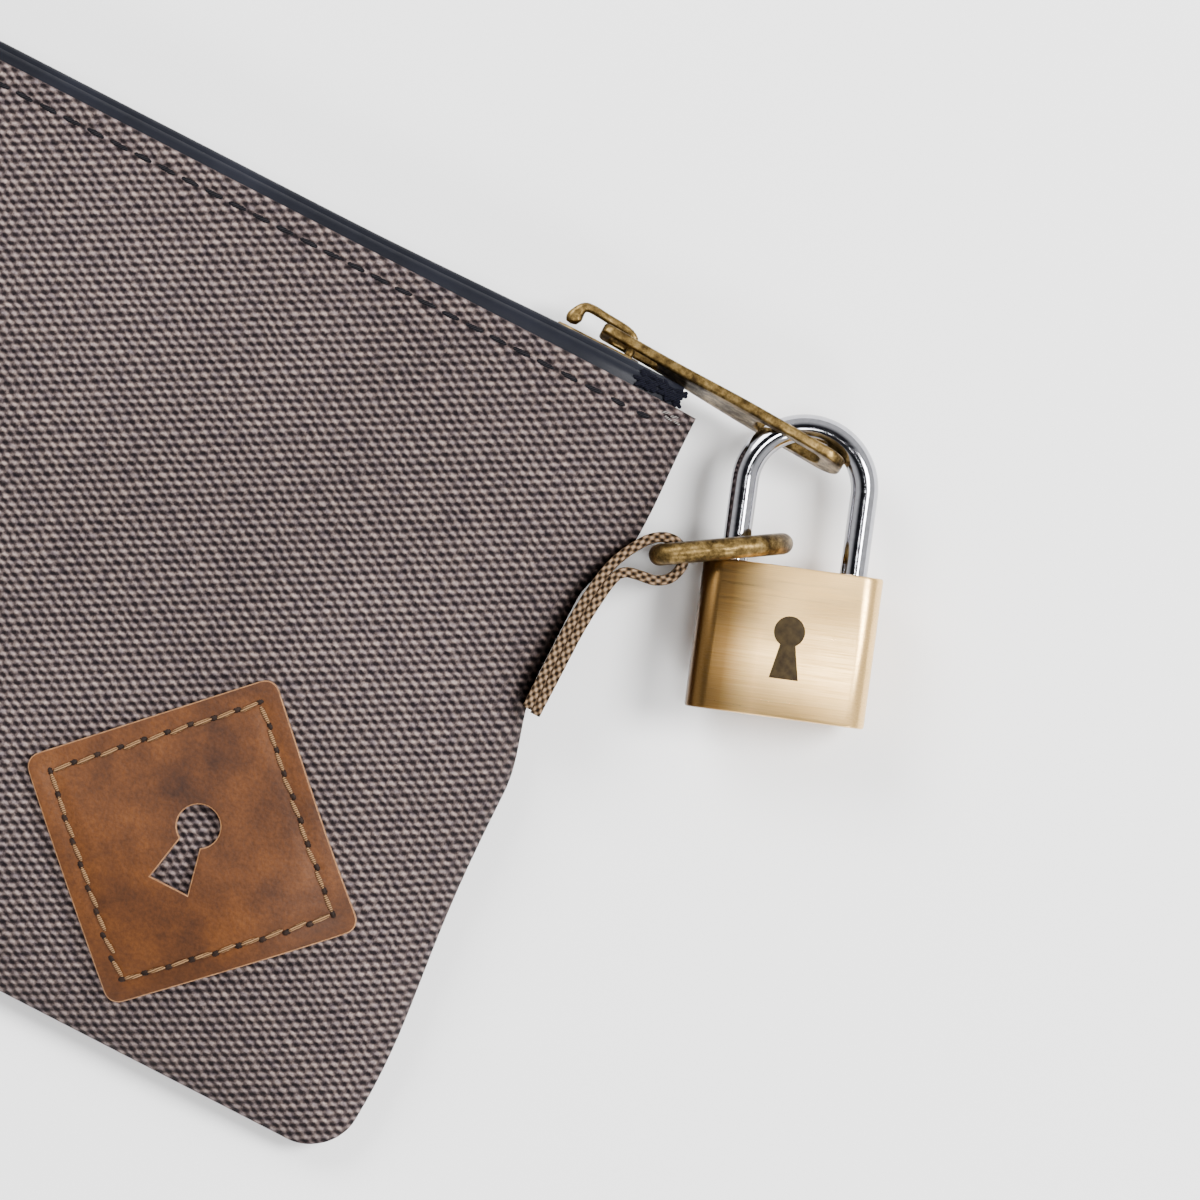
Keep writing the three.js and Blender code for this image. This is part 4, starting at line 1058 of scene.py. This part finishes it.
# ---------------------------------------------------------------- padlock
LOCK_TURN = 19.5
LOCK_PLACE = Vector((HALF_LENGTH + 30 * MM, TOP - 26.4 * MM, MID))
LOCK = Matrix.Translation(LOCK_PLACE) @ Matrix.Rotation(math.radians(LOCK_TURN), 4, "Z")
LOCK_TOP = 12.6 * MM
LOCK_HALF_DEPTH = 6.7 * MM
LEG = 10 * MM
WIRE = 4.6 * MM
HEEL_DEPTH = 16 * MM
TOE_DEPTH = 8 * MM
SHACKLE_STRAIGHT = 13.3 * MM
BORE = WIRE / 2 + 0.3 * MM
PLUG_BORE = 4.5 * MM


def cylinder(name, radius, low, high, x):
    points, faces = sweep([Vector((x, low, 0)), Vector((x, high, 0))], UP, circle(radius, 40))
    return mesh_object(name, points, faces, BRUSHED)


def build_lock_body():
    levels = [(-LOCK_TOP, 0.45), (-LOCK_TOP + 0.12 * MM, 0.12), (-LOCK_TOP + 0.45 * MM, 0.0),
              (LOCK_TOP - 0.45 * MM, 0.0), (LOCK_TOP - 0.12 * MM, 0.12), (LOCK_TOP, 0.45)]
    points, faces = [], []
    for y, inset in levels:
        half_width, half_depth = LOCK_HALF_WIDTH - inset * MM, LOCK_HALF_DEPTH - inset * MM
        ring = rounded_rectangle(half_width, half_depth, (3.4 - inset) * MM, 10)
        points += [Vector((x, y, z)) for x, z in ring]
    sides = len(points) // len(levels)
    for level in range(len(levels) - 1):
        for s in range(sides):
            t = (s + 1) % sides
            a = level * sides
            faces.append((a + s, a + t, a + sides + t, a + sides + s))
    faces.append(tuple(range(sides)))
    faces.append(tuple(reversed(range((len(levels) - 1) * sides, len(levels) * sides))))
    body = mesh_object("lock_case", points, faces, BRUSHED)
    tools = [cylinder("toe_bore", BORE, LOCK_TOP - TOE_DEPTH - 0.6 * MM, LOCK_TOP + MM, -LEG),
             cylinder("heel_bore", BORE, LOCK_TOP - HEEL_DEPTH - 0.6 * MM, LOCK_TOP + MM, LEG),
             cylinder("plug_bore", PLUG_BORE, -LOCK_TOP - MM, 1.7 * MM, 0)]
    cut(body, tools)
    body.matrix_world = LOCK
    sharp_by_angle(body, 30)
    place(body, "padlock", "lock_brass", "padlock_body")
    mark_place = LOCK @ Matrix.Translation((0.6 * MM, -0.3 * MM, LOCK_HALF_DEPTH + 0.005 * MM))
    mark = plate("lock_face_mark", [keyhole(0.72 * MM)], 0.06 * MM, 0.01 * MM, ETCHED, mark_place)
    place(mark, "padlock", "lock_brass")


def build_shackle():
    crown = LOCK_TOP + SHACKLE_STRAIGHT
    toe, heel = LOCK_TOP - TOE_DEPTH, LOCK_TOP - HEEL_DEPTH
    up = [Vector((-LEG, toe + (crown - toe) * i / 10, 0)) for i in range(10)]
    over = arc(Vector((0, crown, 0)), LEG, 180, 0, 48)
    down = [Vector((LEG, crown - (crown - heel) * i / 12, 0)) for i in range(1, 13)]
    path = [*up, *over, *down]
    points, faces = sweep(path, UP, circle(WIRE / 2, 32))
    shackle = mesh_object("shackle_bow", points, faces, POLISHED)
    inside = WIRE / 2
    notch_low = (-LEG + inside - 1.5 * MM, LOCK_TOP - TOE_DEPTH - MM, -inside - MM)
    notch_high = (-LEG + inside + MM, LOCK_TOP - 3.2 * MM, inside + MM)
    groove_low = (LEG - inside - MM, -1.6 * MM, -inside - MM)
    groove_high = (LEG - inside + 0.7 * MM, LOCK_TOP - 3.5 * MM, inside + MM)
    tools = [mesh_object("notch", *box_mesh(notch_low, notch_high), POLISHED),
             mesh_object("groove", *box_mesh(groove_low, groove_high), POLISHED)]
    cut(shackle, tools)
    sharp_by_angle(shackle, 40)
    shackle.matrix_world = LOCK
    place(shackle, "shackle", "polished_steel", "shackle")


def dress_frame_nodes():
    looks = {"front_lining": LINING_LOOK, "back_lining": LINING_LOOK, "key_plug": BRUSHED,
             "front_top_stop": ANTIQUE, "back_top_stop": ANTIQUE, "bottom_stop": ANTIQUE}
    for name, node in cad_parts.items():
        look = looks.get(name, BRUSHED if name.startswith("driver_pin") else PLAIN_STEEL)
        node.data.materials.clear()
        node.data.materials.append(look)


# ---------------------------------------------------------------- stage
def build_stage():
    size = 1.5
    corners = ((-size, -size), (size, -size), (size, size), (-size, size))
    points = [Vector((x, y, 0)) for x, y in corners]
    look = Nodes("floor").finish(Base_Color=rgba(0.97, 0.97, 0.97), Roughness=0.9)
    floor = mesh_object("floor", points, [(0, 1, 2, 3)], look)
    floor.location.z = min(CAD_BOX[0][2], 0) - 0.0002


def area_light(name, location, target, size, power):
    data = bpy.data.lights.new(name, "AREA")
    data.shape = "DISK"
    data.size = size
    data.energy = power
    light = linked(name, data)
    light.location = location
    aim = Vector(target) - Vector(location)
    light.rotation_euler = aim.to_track_quat("-Z", "Y").to_euler()


def build_lights():
    world = bpy.data.worlds.new("studio")
    world.use_nodes = True
    tree = world.node_tree
    source = tree.nodes.new("ShaderNodeTexCoord")
    parts = tree.nodes.new("ShaderNodeSeparateXYZ")
    ramp = tree.nodes.new("ShaderNodeValToRGB")
    tree.links.new(source.outputs["Generated"], parts.inputs[0])
    tree.links.new(parts.outputs[2], ramp.inputs[0])
    tree.links.new(ramp.outputs[0], tree.nodes["Background"].inputs["Color"])
    stops = ((0.60, rgba(1, 1, 1)), (0.90, rgba(0.015, 0.015, 0.02)))
    for element, (position, colour) in zip(ramp.color_ramp.elements, stops):
        element.position = position
        element.color = colour
    tree.nodes["Background"].inputs["Strength"].default_value = 1.1
    bpy.context.scene.world = world
    middle = (HALF_LENGTH * 0.8, 0, 0)
    area_light("key", (0.62, 0.42, 0.95), middle, 0.4, 22)
    area_light("fill", (-0.75, 0.55, 0.95), middle, 0.7, 20)
    area_light("rim", (0.9, -0.75, 0.9), middle, 0.4, 9)
    area_light("overhead", (0.34, -0.02, 1.45), middle, 0.28, 7)


def build_camera():
    data = bpy.data.cameras.new("camera")
    data.sensor_width = SENSOR
    data.lens = SENSOR * CAMERA_HEIGHT / VIEW_WIDTH
    data.clip_end = 10
    camera = linked("camera", data)
    camera.location = (HALF_LENGTH + CAMERA_FROM_END, TOP + CAMERA_FROM_TOP, CAMERA_HEIGHT)
    camera.rotation_euler = (0, 0, math.radians(CAMERA_ROLL))
    bpy.context.scene.camera = camera


build_camera()
build_stage()
build_lights()
dress_frame_nodes()
build_pouch()
build_hem_stitches()
build_patch()
for side in (1, -1):
    build_tape(side)
    build_chain(side)
build_tape_tack()
build_slider()
build_bridge()
build_puller()
build_ring()
build_side_loop()
build_lock_body()
build_shackle()
